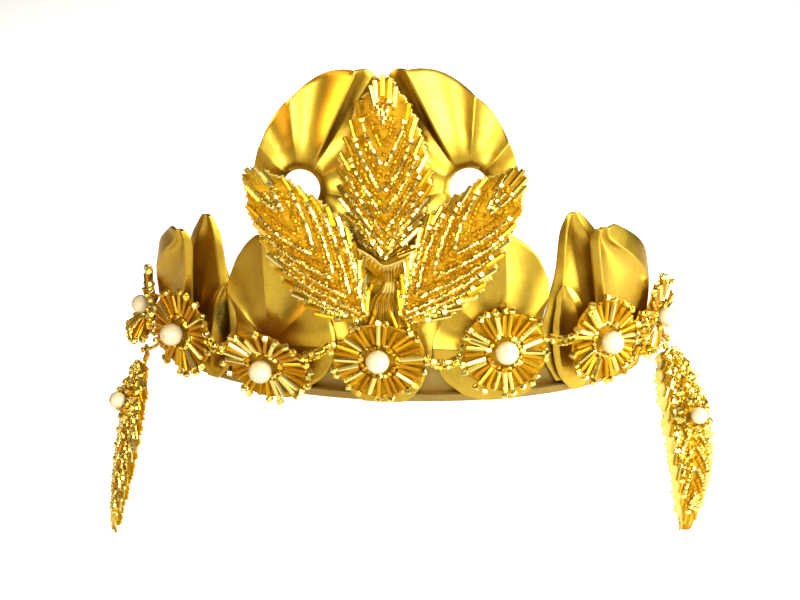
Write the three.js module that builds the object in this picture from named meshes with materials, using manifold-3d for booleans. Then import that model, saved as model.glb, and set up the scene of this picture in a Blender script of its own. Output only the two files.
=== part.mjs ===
// A beaded gilt tiara, in millimetres, +Z up, the brow facing -Y.
// The origin is the centre of the head opening, on the plane of the band's lower edge.
import * as THREE from 'three';
import { mergeVertices } from 'three/addons/utils/BufferGeometryUtils.js';
import Module from 'manifold-3d';

// ---- driving dimensions ----------------------------------------------------------------------

const BAND_HALF_WIDTH = 80; // half the width from temple to temple, outside
const BAND_DEPTH = 49.3; // from the temples' line forward to the brow, outside
const BAND_END = 97; // plan angle from the brow to each end of the band, degrees
const RIM_HEIGHT = 3; // the rim along the band's lower edge
const RIM_PROUD = 3; // how far the rim stands out from the band's wall
const WALL_HEIGHT = 18;
const WALL_THICKNESS = 1.5;

const SHEET = 1.3; // thickness of the fluted plates
const GAP = 0.35; // the gap that neighbouring pieces keep
const FRONT_LAYER = 1.2; // middle of the plates that stand before the rim, out from the rim
const BACK_LAYER = -1.4; // middle of the petals that stand on top of the rim
const ASKEW = 0.035; // the crest sits two degrees askew, its right side higher
const ASKEW_PIVOT = 45;

const RIDGE_EASE = 1.6; // a plate's ridges are up this many times sooner than its outline
const DIP_EASE = 2; // and its flutes are down this many times sooner
const PETAL_EASE = 14; // height over which a petal's form comes in
const PETAL_FULL_WIDTH = 12; // a petal narrower than this is shallower too

const PEARL_RADIUS = 4;
const FLOWER_RADIUS = 13.6; // to the ends of the bugle beads
const FLOWER_BUGLES = 16;
const SEED_RADIUS = 1.05;

// ---- placing -----------------------------------------------------------------------------------

const radians = THREE.MathUtils.degToRad;
const lerp = THREE.MathUtils.lerp;

/** The direction square to the band, pointing away from the head. */
function outwardAt(angle) {
  const t = radians(angle);
  return new THREE.Vector3(BAND_DEPTH * Math.sin(t), -BAND_HALF_WIDTH * Math.cos(t), 0).normalize();
}

/** A point at a plan angle from the brow, some way out from the rim and up from the lower edge. */
function bandPoint(angle, out, height) {
  const t = radians(angle);
  const foot = new THREE.Vector3(BAND_HALF_WIDTH * Math.sin(t), -BAND_DEPTH * Math.cos(t), height);
  return foot.addScaledVector(outwardAt(angle), out);
}

/** Millimetres of rim for each degree of plan angle. */
function rimPerDegree(angle) {
  const t = radians(angle);
  return radians(1) * Math.hypot(BAND_HALF_WIDTH * Math.cos(t), BAND_DEPTH * Math.sin(t));
}

/** The plan angle reached by walking a distance along the rim. */
function walkRim(angle, distance) {
  const steps = 8;
  let reached = angle;
  for (let i = 0; i < steps; i += 1) {
    reached += distance / steps / rimPerDegree(reached);
  }
  return reached;
}

/** The lean that the whole crest has to one side. */
function leanAskew(point) {
  const share = Math.min(point.z / ASKEW_PIVOT, 1);
  const x = point.x - ASKEW * (point.z - ASKEW_PIVOT) * share;
  return new THREE.Vector3(x, point.y, point.z + ASKEW * point.x * share);
}

/**
 * The frame of a piece that faces outwards: X along the rim, Y up, Z away from the head. tilt
 * lifts its face, and turn swings it about the upright.
 */
function facing(angle, out, height, tilt, turn) {
  const outward = outwardAt(angle);
  const along = new THREE.Vector3(-outward.y, outward.x, 0);
  const up = new THREE.Vector3(0, 0, 1);
  const matrix = new THREE.Matrix4().makeBasis(along, up, outward);
  matrix.multiply(new THREE.Matrix4().makeRotationY(radians(turn)));
  matrix.multiply(new THREE.Matrix4().makeRotationX(-radians(tilt)));
  return matrix.setPosition(bandPoint(angle, out, height));
}

/** A value between the rows of a table, on a smooth curve through them. */
function smoothly(rows, column, share) {
  const place = share * (rows.length - 1);
  const i = Math.min(Math.floor(place), rows.length - 2);
  const t = place - i;
  const at = (k) => rows[Math.min(Math.max(k, 0), rows.length - 1)][column];
  const [a, b, c, d] = [at(i - 1), at(i), at(i + 1), at(i + 2)];
  const bend = 2 * a - 5 * b + 4 * c - d;
  return b + 0.5 * t * (c - a + t * (bend + t * (3 * (b - c) + d - a)));
}

// ---- solids ------------------------------------------------------------------------------------

/** One closed solid from loose triangles: corners merged, flat slivers dropped, faces outwards. */
function solidFrom(triangles) {
  const loose = new THREE.BufferGeometry().setFromPoints(triangles.flat());
  const merged = mergeVertices(loose, 1e-3);
  const place = merged.getAttribute('position');
  const corner = (i) => new THREE.Vector3().fromBufferAttribute(place, i);
  const index = [];
  let volume = 0;
  for (let i = 0; i < merged.index.count; i += 3) {
    const [a, b, c] = [0, 1, 2].map((k) => merged.index.getX(i + k));
    if (a !== b && b !== c && c !== a) {
      index.push(a, b, c);
      volume += corner(a).dot(corner(b).cross(corner(c)));
    }
  }
  if (volume < 0) {
    index.reverse();
  }
  merged.setIndex(index);
  return merged;
}

/** The two triangles of a four-cornered face. */
function face(a, b, c, d) {
  return [[a, b, c], [a, c, d]];
}

/**
 * A shell between two grids of points with equal rows and columns. A ring closes on itself across
 * its columns. Walls join the grids' borders, apart from the outer ones that open() leaves out. A
 * folded ring starts from a middle line, where its two halves meet with no wall.
 */
function shell(front, back, { ring = false, folded = false, open = () => false } = {}) {
  const triangles = [];
  const rows = front.length;
  const columns = front[0].length;
  const last = ring ? columns : columns - 1;
  for (let r = 0; r < rows - 1; r += 1) {
    for (let c = 0; c < last; c += 1) {
      const d = (c + 1) % columns;
      triangles.push(...face(front[r][c], front[r][d], front[r + 1][d], front[r + 1][c]));
      triangles.push(...face(back[r][d], back[r][c], back[r + 1][c], back[r + 1][d]));
    }
    if (!ring) {
      triangles.push(...face(back[r][0], front[r][0], front[r + 1][0], back[r + 1][0]));
      triangles.push(...face(front[r][last], back[r][last], back[r + 1][last], front[r + 1][last]));
    }
  }
  for (let c = 0; c < last; c += 1) {
    const d = (c + 1) % columns;
    const [top, topBack] = [front[rows - 1], back[rows - 1]];
    if (!folded) {
      triangles.push(...face(front[0][d], front[0][c], back[0][c], back[0][d]));
    }
    if (!open(top[c], top[d])) {
      triangles.push(...face(top[c], top[d], topBack[d], topBack[c]));
    }
  }
  return triangles;
}

/** A round bar through stations of centre and radius, its ends drawn to a point. */
function bar(stations, sides) {
  const triangles = [];
  const rings = stations.map(({ centre, radius, along }) => {
    const side = new THREE.Vector3(0, 0, 1).cross(along).normalize();
    const up = along.clone().cross(side).normalize();
    return Array.from({ length: sides }, (_, i) => {
      const turn = (i / sides) * 2 * Math.PI;
      const spoke = side.clone().multiplyScalar(radius * Math.cos(turn));
      return centre.clone().add(spoke).addScaledVector(up, radius * Math.sin(turn));
    });
  });
  for (let r = 0; r < rings.length - 1; r += 1) {
    for (let i = 0; i < sides; i += 1) {
      const j = (i + 1) % sides;
      triangles.push(...face(rings[r][i], rings[r][j], rings[r + 1][j], rings[r + 1][i]));
    }
  }
  const [first, final] = [stations[0].centre, stations.at(-1).centre];
  for (let i = 0; i < sides; i += 1) {
    const j = (i + 1) % sides;
    triangles.push([first, rings[0][j], rings[0][i]]);
    triangles.push([final, rings.at(-1)[i], rings.at(-1)[j]]);
  }
  return triangles;
}

const FINISHES = {
  gilt: { color: 0xc79a2e, roughness: 0.42, metalness: 0.9 },
  beadwork: { color: 0xd8a62a, roughness: 0.25, metalness: 0.2 },
  pearl: { color: 0xf4ead2, roughness: 0.2, metalness: 0 },
  cloth: { color: 0xd2a02c, roughness: 0.7, metalness: 0.1 },
};

const tiara = new THREE.Group();

/** Adds a named piece to the tiara. */
function add(name, geometry, finish, matrix) {
  const material = new THREE.MeshStandardMaterial(FINISHES[finish]);
  const mesh = new THREE.Mesh(geometry, material);
  mesh.name = name;
  if (matrix) {
    mesh.applyMatrix4(matrix);
  }
  tiara.add(mesh);
}

const SIDES = [
  { side: 'left', sign: -1 },
  { side: 'right', sign: 1 },
];

// ---- band: a bent strip whose lower edge is folded out into a rim ------------------------------

function band() {
  const inner = -RIM_PROUD - WALL_THICKNESS;
  const profile = [
    { out: 0, back: inner, height: 0, backHeight: 0 },
    { out: 0, back: inner, height: RIM_HEIGHT, backHeight: RIM_HEIGHT / 2 },
    { out: -RIM_PROUD, back: inner, height: RIM_HEIGHT, backHeight: RIM_HEIGHT },
    { out: -RIM_PROUD, back: inner, height: WALL_HEIGHT, backHeight: WALL_HEIGHT },
  ];
  const steps = 38;
  const front = [];
  const back = [];
  for (let i = 0; i <= steps; i += 1) {
    const angle = lerp(-BAND_END, BAND_END, i / steps);
    front.push(profile.map((p) => bandPoint(angle, p.out, p.height)));
    back.push(profile.map((p) => bandPoint(angle, p.back, p.backHeight)));
  }
  return solidFrom(shell(front, back));
}

add('band', band(), 'gilt');

// ---- fluted plates: flutes spread from a hub to the outline, between raised ridges -------------

/** How far the outline lies from the hub in a direction. */
function reachOf(outline, hub, turn) {
  const [dx, dy] = [Math.cos(turn), Math.sin(turn)];
  let reach = 0;
  outline.forEach((p, i) => {
    const q = outline[(i + 1) % outline.length];
    const [ex, ey] = [q.x - p.x, q.y - p.y];
    const cross = dx * ey - dy * ex;
    const [px, py] = [p.x - hub.x, p.y - hub.y];
    const along = (px * ey - py * ex) / cross;
    const share = (px * dy - py * dx) / cross;
    if (Math.abs(cross) > 1e-9 && along > 0 && share >= -1e-9 && share <= 1 + 1e-9) {
      reach = Math.max(reach, along);
    }
  });
  return reach;
}

/**
 * The grid of a fluted plate about its hub: rows run from the hub's rim to the outline, columns
 * round the hub. Each ridge has its direction and its lift, and the sheet dips between them.
 */
function fluted({ hub, hubRadius, outline, ridges, columnsPerFlute, rows, dip, deepest }) {
  const columns = [];
  ridges.forEach((ridge, i) => {
    const next = ridges[(i + 1) % ridges.length];
    const span = (next.turn - ridge.turn + 360) % 360;
    for (let k = 0; k < columnsPerFlute; k += 1) {
      const share = k / columnsPerFlute;
      const turn = radians(ridge.turn + span * share);
      const lift = lerp(ridge.lift, next.lift, share);
      columns.push({ turn, lift, width: radians(span), hollow: 4 * share * (1 - share) });
    }
  });
  const grid = [];
  for (let r = 0; r <= rows; r += 1) {
    const out = r / rows;
    grid.push(columns.map(({ turn, lift, width, hollow }) => {
      const radius = lerp(hubRadius, reachOf(outline, hub, turn), out);
      const rise = lift * Math.sin((Math.min(out * RIDGE_EASE, 1) * Math.PI) / 2);
      const sink = Math.min(dip * width * radius, deepest) * hollow * Math.min(out * DIP_EASE, 1);
      const x = hub.x + radius * Math.cos(turn);
      return { x, y: hub.y + radius * Math.sin(turn), depth: rise - sink };
    }));
  }
  return grid;
}

const CREST = {
  lean: 11, // backwards, from the foot
  standsOut: 1, // the foot's way out past the other plates, to clear the rim as it leans
  centre: 66, // along the plate from its foot's plane
  radius: 41.7,
  holeSpacing: 26.2, // from the middle line
  holeHeight: 67.3,
  holeRadius: 6.3,
  lobeTop: 105.2,
  notchBottom: 101,
  flatBelow: 14, // the flutes come in between these heights
  flutedFrom: 38,
  dip: 0.13, // of a flute, for its width
  deepest: 2.6,
};

/** Half of the crest's outline, from the notch round to the foot and up the middle line. */
function crestOutline() {
  const shape = new THREE.Path();
  const { centre, radius, lobeTop, notchBottom } = CREST;
  const leavesCircle = radians(61);
  const joinsTaper = radians(-20);
  const [lobeX, lobeY] = [radius * Math.cos(leavesCircle), centre + radius * Math.sin(leavesCircle)];
  shape.moveTo(0, notchBottom);
  shape.lineTo(1.6, notchBottom + 0.5);
  shape.quadraticCurveTo(3, lobeTop - 0.2, 7.5, lobeTop);
  shape.quadraticCurveTo(14, lobeTop + 0.3, lobeX, lobeY);
  shape.absarc(0, centre, radius, leavesCircle, joinsTaper, true);
  shape.quadraticCurveTo(30, 46, 22.5, 37);
  shape.quadraticCurveTo(17, 30, 16.5, 23);
  shape.quadraticCurveTo(16, 12, 13, 8);
  shape.quadraticCurveTo(9.5, 1, 5, 0.8);
  shape.lineTo(0, 0.8);
  return shape.getPoints(9);
}

const CREST_RIDGES = [
  { turn: 5, lift: 1.2 },
  { turn: 48, lift: 1.6 },
  { turn: 85, lift: 2 },
  { turn: 116, lift: 2.8 },
  { turn: 123.5, lift: -0.4 },
  { turn: 149, lift: 1.2 },
  { turn: 185, lift: 1 },
  { turn: 218, lift: 1.2 },
  { turn: 248.5, lift: 0.9 }, // to the foot's middle
  { turn: 257, lift: 0.6 }, // to the foot's corner
  { turn: 285, lift: 1 },
  { turn: 325, lift: 1.2 },
];

function crestPlate() {
  const lean = radians(CREST.lean);
  const foot = bandPoint(0, FRONT_LAYER + CREST.standsOut, 0);
  const hub = { x: CREST.holeSpacing, y: CREST.holeHeight };
  const grid = fluted({
    hub,
    hubRadius: CREST.holeRadius,
    outline: crestOutline(),
    ridges: CREST_RIDGES,
    columnsPerFlute: 4,
    rows: 3,
    dip: CREST.dip,
    deepest: CREST.deepest,
  });
  const place = (sign, side) => ({ x, y, depth }) => {
    const calm = THREE.MathUtils.smoothstep(y, CREST.flatBelow, CREST.flutedFrom);
    const out = depth * calm + (side * SHEET) / 2;
    const height = y * Math.cos(lean) - out * Math.sin(lean) * calm;
    const back = y * Math.sin(lean) - out * Math.cos(lean);
    return leanAskew(new THREE.Vector3(sign * x, foot.y + back, height));
  };
  const triangles = [-1, 1].flatMap((sign) => {
    const front = grid.map((row) => row.map(place(sign, 1)));
    const back = grid.map((row) => row.map(place(sign, -1)));
    const onMiddle = grid.at(-1).map((p) => Math.abs(p.x) < 1e-6);
    const outer = front.at(-1);
    const open = (a, b) => onMiddle[outer.indexOf(a)] && onMiddle[outer.indexOf(b)];
    const half = shell(front, back, { ring: true, open });
    return sign < 0 ? half.map(([a, b, c]) => [a, c, b]) : half;
  });
  return solidFrom(triangles);
}

add('crest_plate', crestPlate(), 'gilt');

const WING = {
  angle: 27.3, // plan angle of the ridge
  hubHeight: 17,
  flatBelow: 4,
  flutedFrom: 26,
  dip: 0.13,
  deepest: 2.4,
};

/** The wing's outline, x away from the brow along the rim. */
const WING_OUTLINE = [
  { x: 0, y: 54.6 },
  { x: 2.4, y: 54 },
  { x: 7, y: 50.2 },
  { x: 11.6, y: 44.4 },
  { x: 14.6, y: 36.4 },
  { x: 12.4, y: 28 },
  { x: 12.2, y: 20 },
  { x: 11.7, y: 10 },
  { x: 9, y: 2.6 },
  { x: 5, y: 0.8 },
  { x: -6, y: 0.8 },
  { x: -12, y: 2.6 },
  { x: -17.4, y: 9 },
  { x: -19.6, y: 15.6 },
  { x: -21, y: 21 },
  { x: -18.6, y: 29.5 },
  { x: -13.6, y: 37.5 },
  { x: -7.6, y: 45.5 },
  { x: -3, y: 52 },
];

const WING_RIDGES = [
  { turn: 49.5, lift: 1.6 },
  { turn: 90, lift: 2.2 },
  { turn: 134, lift: 1 },
  { turn: 176, lift: 0.8 },
  { turn: 232, lift: 0 },
  { turn: 308, lift: 0 },
  { turn: 3, lift: 0.4 },
];

function wingPlate(sign) {
  const grid = fluted({
    hub: { x: 0, y: WING.hubHeight },
    hubRadius: 0,
    outline: WING_OUTLINE,
    ridges: WING_RIDGES,
    columnsPerFlute: 4,
    rows: 3,
    dip: WING.dip,
    deepest: WING.deepest,
  });
  const place = (side) => ({ x, y, depth }) => {
    const calm = THREE.MathUtils.smoothstep(y, WING.flatBelow, WING.flutedFrom);
    const out = FRONT_LAYER + depth * calm + (side * SHEET) / 2;
    return leanAskew(bandPoint(sign * walkRim(WING.angle, x), out, y));
  };
  const front = grid.map((row) => row.map(place(1)));
  const back = grid.map((row) => row.map(place(-1)));
  return solidFrom(shell(front, back, { ring: true }));
}

SIDES.forEach(({ side, sign }) => add(`wing_plate_${side}`, wingPlate(sign), 'gilt'));

// ---- petals: a hollow between two ridges, with flanks turned back at both edges ----------------

/**
 * Rows run from the foot to the tip. inner and outer are the edges' places along the rim, from
 * the petal's middle, innerRidge and outerRidge those of the ridges, and slant is the rise of
 * the row towards the outer edge. Below the height named stands the petal lies flat.
 */
const TALL_PETAL = {
  angle: 48.6,
  layer: BACK_LAYER,
  stands: 19,
  flare: 0,
  hollow: 2.2,
  flank: 1.6,
  rows: [
    { height: 3.5, slant: 0, inner: -7, innerRidge: -4.2, outerRidge: 5.6, outer: 8.6 },
    { height: 16, slant: 0, inner: -12, innerRidge: -6.8, outerRidge: 8.8, outer: 12.4 },
    { height: 28, slant: 0, inner: -9.8, innerRidge: -6, outerRidge: 9.6, outer: 14 },
    { height: 39, slant: 0, inner: -7.1, innerRidge: -5.2, outerRidge: 8, outer: 13.2 },
    { height: 47.5, slant: 0, inner: -5.9, innerRidge: -4.5, outerRidge: 4.6, outer: 9.2 },
    { height: 53, slant: 0, inner: -4.6, innerRidge: -3.6, outerRidge: 1.4, outer: 4.4 },
    { height: 56.6, slant: 0, inner: -3, innerRidge: -2.4, outerRidge: -0.6, outer: 0.5 },
  ],
};

const LOW_LEAF_ANGLE = { left: 43.6, right: 46.5 };

const LOW_LEAF = {
  layer: FRONT_LAYER + 0.35,
  stands: 1,
  flare: 0,
  hollow: 1.3,
  flank: 0.7,
  rows: [
    { height: 1, slant: 0, inner: -0.4, innerRidge: 0.4, outerRidge: 2.4, outer: 4 },
    { height: 6, slant: 0, inner: -3.8, innerRidge: -2.8, outerRidge: 3, outer: 5.8 },
    { height: 14, slant: 0, inner: -5.8, innerRidge: -4.8, outerRidge: 2.8, outer: 6.4 },
    { height: 22, slant: 0, inner: -6.4, innerRidge: -5.4, outerRidge: 1.4, outer: 4.8 },
    { height: 28.5, slant: 0, inner: -6.6, innerRidge: -5.6, outerRidge: -0.4, outer: 2.1 },
    { height: 32.4, slant: 0, inner: -6.3, innerRidge: -5.3, outerRidge: -2.4, outer: -0.6 },
    { height: 34.8, slant: 0, inner: -5, innerRidge: -4.6, outerRidge: -3.8, outer: -3.2 },
  ],
};

const OUTER_PETAL = {
  angle: 68,
  layer: FRONT_LAYER,
  stands: 4,
  flare: 0.07,
  hollow: 1.8,
  flank: 2.2,
  rows: [
    { height: 1.2, slant: 0, inner: -7, innerRidge: -5.4, outerRidge: 6, outer: 9 },
    { height: 12, slant: 0.16, inner: -11.6, innerRidge: -10, outerRidge: 10.4, outer: 17 },
    { height: 22, slant: 0.26, inner: -13.4, innerRidge: -11.8, outerRidge: 11, outer: 18.6 },
    { height: 30.5, slant: 0.2, inner: -14.4, innerRidge: -12.9, outerRidge: 7.2, outer: 14.4 },
    { height: 38, slant: 0.2, inner: -15.6, innerRidge: -14.2, outerRidge: 0.4, outer: 8.6 },
    { height: 44, slant: 0.14, inner: -16.8, innerRidge: -15.4, outerRidge: -6, outer: 2.6 },
    { height: 48.6, slant: 0.05, inner: -17.4, innerRidge: -16.1, outerRidge: -12, outer: -3.6 },
    { height: 51.7, slant: 0, inner: -16.4, innerRidge: -15.5, outerRidge: -13.2, outer: -9 },
  ],
};

function petal({ angle, layer, stands, flare, hollow, flank, rows }, sign) {
  const steps = 7;
  const across = 4;
  const place = (share, where, depth, side) => {
    const height = smoothly(rows, 'height', share) + smoothly(rows, 'slant', share) * where;
    const calm = THREE.MathUtils.smoothstep(height, stands, stands + PETAL_EASE);
    const out = layer + flare * height + depth * calm + (side * SHEET) / 2;
    return leanAskew(bandPoint(sign * walkRim(angle, where), out, height));
  };
  const section = (share, side) => {
    const [inner, innerRidge, outerRidge, outer] = ['inner', 'innerRidge', 'outerRidge', 'outer']
      .map((column) => smoothly(rows, column, share));
    const room = Math.min((outer - inner) / PETAL_FULL_WIDTH, 1);
    const points = [place(share, inner, -flank * room, side)];
    for (let k = 0; k <= across; k += 1) {
      const u = k / across;
      const where = lerp(innerRidge, outerRidge, u);
      points.push(place(share, where, -hollow * room * 4 * u * (1 - u), side));
    }
    points.push(place(share, outer, -flank * room, side));
    return points;
  };
  const shares = Array.from({ length: steps + 1 }, (_, i) => i / steps);
  return solidFrom(shell(shares.map((s) => section(s, 1)), shares.map((s) => section(s, -1))));
}

SIDES.forEach(({ side, sign }) => {
  add(`tall_petal_${side}`, petal(TALL_PETAL, sign), 'gilt');
  add(`low_leaf_${side}`, petal({ ...LOW_LEAF, angle: LOW_LEAF_ANGLE[side] }, sign), 'gilt');
  add(`outer_petal_${side}`, petal(OUTER_PETAL, sign), 'gilt');
});

// ---- beaded leaves: cloth cut to a leaf, domed with seed beads, bugle beads round its border ---

const LEAF_HALF_WIDTH = [
  { half: 1.8 },
  { half: 10.6 },
  { half: 13.6 },
  { half: 14.2 },
  { half: 13 },
  { half: 10.6 },
  { half: 7.4 },
  { half: 1.4 },
];

/**
 * x, height and lift are where a leaf's base lies on the crest and how far its back stands off
 * the middle of that sheet. turn is how far its tip swings to the left, and tuck how much of its
 * width each side keeps near the base.
 */
const LEAVES = [
  { name: 'centre', x: 0.4, height: 46, lift: 2.6, length: 55.5, turn: 1.5, width: 1.03, tuck: [0.8, 0.8] },
  { name: 'left', x: -4.2, height: 28.8, lift: 6.9, length: 57.5, turn: 40.5, width: 0.92, tuck: [1, 0.4] },
  { name: 'right', x: 6, height: 29.4, lift: 7.25, length: 57.5, turn: -38.5, width: 0.92, tuck: [0.4, 1] },
];

const LEAF_BROW = 0.55; // share of the half width where the seed beads' dome falls away
const LEAF_RING = 0.8; // and where the bugle beads begin

const LEAF_EDGE = {
  tuckedTo: 0.15, // share of the length up to which a side is tucked in
  fullFrom: 0.6, // and from which it is full
  bugleOut: 1.3, // a bugle's end, past the cloth's edge
  dipIn: 0.5, // the cloth between two bugles, inside it
  bugleUp: 0.4, // a bugle's crown, above the cloth
  dipDown: 0.5,
  bugleOn: 1.2, // a bugle's end, on towards the tip
  rowCurve: 0.1, // how far a row's ends curve back, as a share of the length
};

/**
 * A beaded leaf lying in the XY plane, its base at the origin and its tip along +Y. Stations
 * alternate between a bugle bead and the dip beside it. Each side is tucked in near the base.
 */
function beadedLeaf({ length, width, tuck, widths, bugles, thickness, dome }) {
  const edge = LEAF_EDGE;
  const stations = bugles * 2;
  const columns = [];
  for (let side = -1; side <= 1; side += 2) {
    for (let i = 0; i <= stations; i += 1) {
      const share = side < 0 ? i / stations : 1 - i / stations;
      columns.push({ side: -side, share, onBugle: i % 2 === 1 });
    }
  }
  const rowAt = (across, depth) => columns.map(({ side, share, onBugle }) => {
    const full = THREE.MathUtils.smoothstep(share, edge.tuckedTo, edge.fullFrom);
    const half = smoothly(widths, 'half', share) * width * lerp(tuck[side < 0 ? 0 : 1], 1, full);
    const onBorder = across === 1;
    const poke = onBorder ? (onBugle ? edge.bugleOut : -edge.dipIn) : 0;
    const bead = across >= LEAF_RING ? (onBugle ? edge.bugleUp : -edge.dipDown) : 0;
    const x = side * (half * across + poke);
    const on = onBorder && onBugle ? edge.bugleOn : 0;
    const y = length * share * (1 - edge.rowCurve * across * (1 - share)) + on;
    return new THREE.Vector3(x, y, depth + (depth > 0 ? bead : 0));
  });
  const front = [
    rowAt(0, thickness + dome),
    rowAt(LEAF_BROW, thickness + dome * 0.75),
    rowAt(LEAF_RING, thickness),
    rowAt(1, thickness),
  ];
  const back = [rowAt(0, 0), rowAt(1, 0), rowAt(1, 0), rowAt(1, 0)];
  return shell(front, back, { ring: true, folded: true });
}

const LEAF_THICKNESS = 1.6;
const LEAF_DOME = 1.4;
const LEAF_BUGLES = 10;

/** The frame of a piece laid on the crest plate, at a height along it and turned in its plane. */
function onCrest(x, height, lift, turn) {
  const frame = new THREE.Matrix4().makeBasis(
    new THREE.Vector3(1, 0, 0),
    new THREE.Vector3(0, 0, 1),
    new THREE.Vector3(0, -1, 0),
  );
  frame.setPosition(bandPoint(0, FRONT_LAYER + CREST.standsOut, 0));
  frame.multiply(new THREE.Matrix4().makeRotationX(radians(-CREST.lean)));
  frame.multiply(new THREE.Matrix4().makeTranslation(x, height, lift));
  return frame.multiply(new THREE.Matrix4().makeRotationZ(radians(turn)));
}

LEAVES.forEach(({ name, x, height, lift, turn, ...shape }) => {
  const leaf = beadedLeaf({
    ...shape,
    widths: LEAF_HALF_WIDTH,
    bugles: LEAF_BUGLES,
    thickness: LEAF_THICKNESS,
    dome: LEAF_DOME,
  });
  add(`beaded_leaf_${name}`, solidFrom(leaf), 'beadwork', onCrest(x, height, lift, turn));
});

// ---- knot: a scrap of gold cloth gathered where the three leaves meet --------------------------

const KNOT = {
  x: 1.2,
  height: 33.4, // of its middle along the crest
  lift: 0.7,
  halfWidth: 8,
  halfHeight: 10.4,
  thickness: 5.4,
  folds: 9,
};

function knot() {
  const columns = KNOT.folds * 2;
  const rowAt = (out, depth) => Array.from({ length: columns }, (_, i) => {
    const turn = (i / columns) * 2 * Math.PI;
    const gather = i % 2 === 0 ? 1 : 0.8;
    const x = KNOT.halfWidth * out * gather * Math.cos(turn);
    return new THREE.Vector3(x, KNOT.halfHeight * out * gather * Math.sin(turn), depth);
  });
  const { thickness } = KNOT;
  const front = [rowAt(0, thickness), rowAt(0.6, 0.9 * thickness), rowAt(1, 0.5 * thickness)];
  return solidFrom(shell(front, [rowAt(0, 0), rowAt(1, 0), rowAt(1, 0)], { ring: true }));
}

add('leaf_knot', knot(), 'cloth', onCrest(KNOT.x, KNOT.height, KNOT.lift, 0));

// ---- flowers: bugle beads set like spokes on round cloth, seed beads at both their ends ---------

const FLOWER = {
  cloth: 1, // thickness
  seedRing: 5, // radius of the ring of seed beads round the pearl
  seedWidth: 1, // from that ring's middle in to its edge
  pearlSeat: 1.4, // height of the cloth and thread below the pearl
  seedOut: 1, // the outer seed beads, past the bugle beads' ends
  dipIn: 0.6, // the cloth between two bugle beads, inside their ends
  dipUp: 0.2, // the thread there, above the cloth
  backIn: 0.2, // the cloth's back, inside the bugle beads' ends
  strandOut: 0.7, // where a strand is tied, past the bugle beads' ends
};

/**
 * wide and tall stretch a flower that was sewn down oval, turn swings it towards the brow, and
 * fold turns its lower part out, by so much for each millimetre below the pearl.
 */
const FLOWERS = [
  {
    name: 'end_left', angle: -85, height: 14.2, out: 4.6,
    tilt: 2, turn: 10, wide: 1, tall: 0.94, fold: 0.6,
  },
  {
    name: 'side_left', angle: -53.6, height: 15, out: 4.6,
    tilt: 2, turn: 0, wide: 1, tall: 1, fold: 0,
  },
  {
    name: 'front_left', angle: -26.4, height: 12.6, out: 5.2,
    tilt: -27, turn: 0, wide: 1.15, tall: 0.94, fold: 0.4,
  },
  {
    name: 'front', angle: -0.4, height: 16, out: 4.1,
    tilt: -4, turn: 0, wide: 1.12, tall: 0.95, fold: 0,
  },
  {
    name: 'front_right', angle: 26.8, height: 18.4, out: 4.5,
    tilt: 0, turn: 0, wide: 1.03, tall: 1.02, fold: 0,
  },
  {
    name: 'side_right', angle: 54, height: 17.8, out: 4.7,
    tilt: 0, turn: 0, wide: 0.96, tall: 1.04, fold: 0,
  },
  {
    name: 'end_right', angle: 85.6, height: 16.6, out: 4.7,
    tilt: -4, turn: -12, wide: 1, tall: 0.96, fold: 0,
  },
];

const FOLD_BELOW = 3; // below the pearl's middle

/** A beaded flower in the XY plane, its back on the plane and its face towards +Z. */
function beadedFlower({ radius, bugles, seedRing, wide, tall, fold }) {
  const columns = bugles * 2;
  const rowAt = (inRidge, inDip, high, low) => Array.from({ length: columns }, (_, i) => {
    const turn = (i / columns) * 2 * Math.PI;
    const [out, depth] = i % 2 === 0 ? [inRidge, high] : [inDip, low];
    const y = tall * out * Math.sin(turn);
    const folded = fold * Math.max(0, -y - FOLD_BELOW);
    return new THREE.Vector3(wide * out * Math.cos(turn), y, depth + folded);
  });
  const top = FLOWER.cloth + 2 * SEED_RADIUS;
  const seedIn = seedRing - FLOWER.seedWidth;
  const front = [
    rowAt(0, 0, FLOWER.pearlSeat, FLOWER.pearlSeat),
    rowAt(seedIn, seedIn, FLOWER.pearlSeat, FLOWER.pearlSeat),
    rowAt(radius, radius - FLOWER.dipIn, top, FLOWER.cloth + FLOWER.dipUp),
    rowAt(radius + FLOWER.seedOut, radius - FLOWER.dipIn, FLOWER.cloth, FLOWER.cloth),
  ];
  const rim = rowAt(radius - FLOWER.backIn, radius - FLOWER.backIn, 0, 0);
  return shell(front, [rowAt(0, 0, 0, 0), rim, rim, rim], { ring: true });
}

function pearl(radius) {
  return new THREE.SphereGeometry(radius, 10, 7);
}

const flowerFrames = FLOWERS.map(({ angle, height, out, tilt, turn }) => (
  facing(angle, out, height, tilt, turn)
));

FLOWERS.forEach(({ name, wide, tall, fold }, i) => {
  const flower = beadedFlower({
    radius: FLOWER_RADIUS,
    bugles: FLOWER_BUGLES,
    seedRing: FLOWER.seedRing,
    wide,
    tall,
    fold,
  });
  add(`flower_${name}`, solidFrom(flower), 'beadwork', flowerFrames[i]);
  const seat = FLOWER.pearlSeat + GAP + PEARL_RADIUS;
  const seated = new THREE.Matrix4().makeTranslation(0, 0, seat);
  add(`pearl_${name}`, pearl(PEARL_RADIUS), 'pearl', flowerFrames[i].clone().multiply(seated));
});

// ---- bead strands: seed beads threaded from each flower to the next ----------------------------

/** rise is how far up a flower's rim, for each millimetre across it, its end of a strand is tied. */
const STRANDS = [
  { rise: 0.15, sag: 0.5 },
  { rise: 0.3, sag: 0.6 },
  { rise: 0.45, sag: 0.9 },
  { rise: 0, sag: 1 },
  { rise: 0.3, sag: 0.9 },
  { rise: 0.2, sag: 0.6 },
];

/** A seed bead's outline along the thread, as shares of its length and of its radius. */
const SEED_SHAPE = [
  { share: 0.12, radius: 0.48 },
  { share: 0.3, radius: 1 },
  { share: 0.7, radius: 1 },
  { share: 0.88, radius: 0.48 },
];

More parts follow.
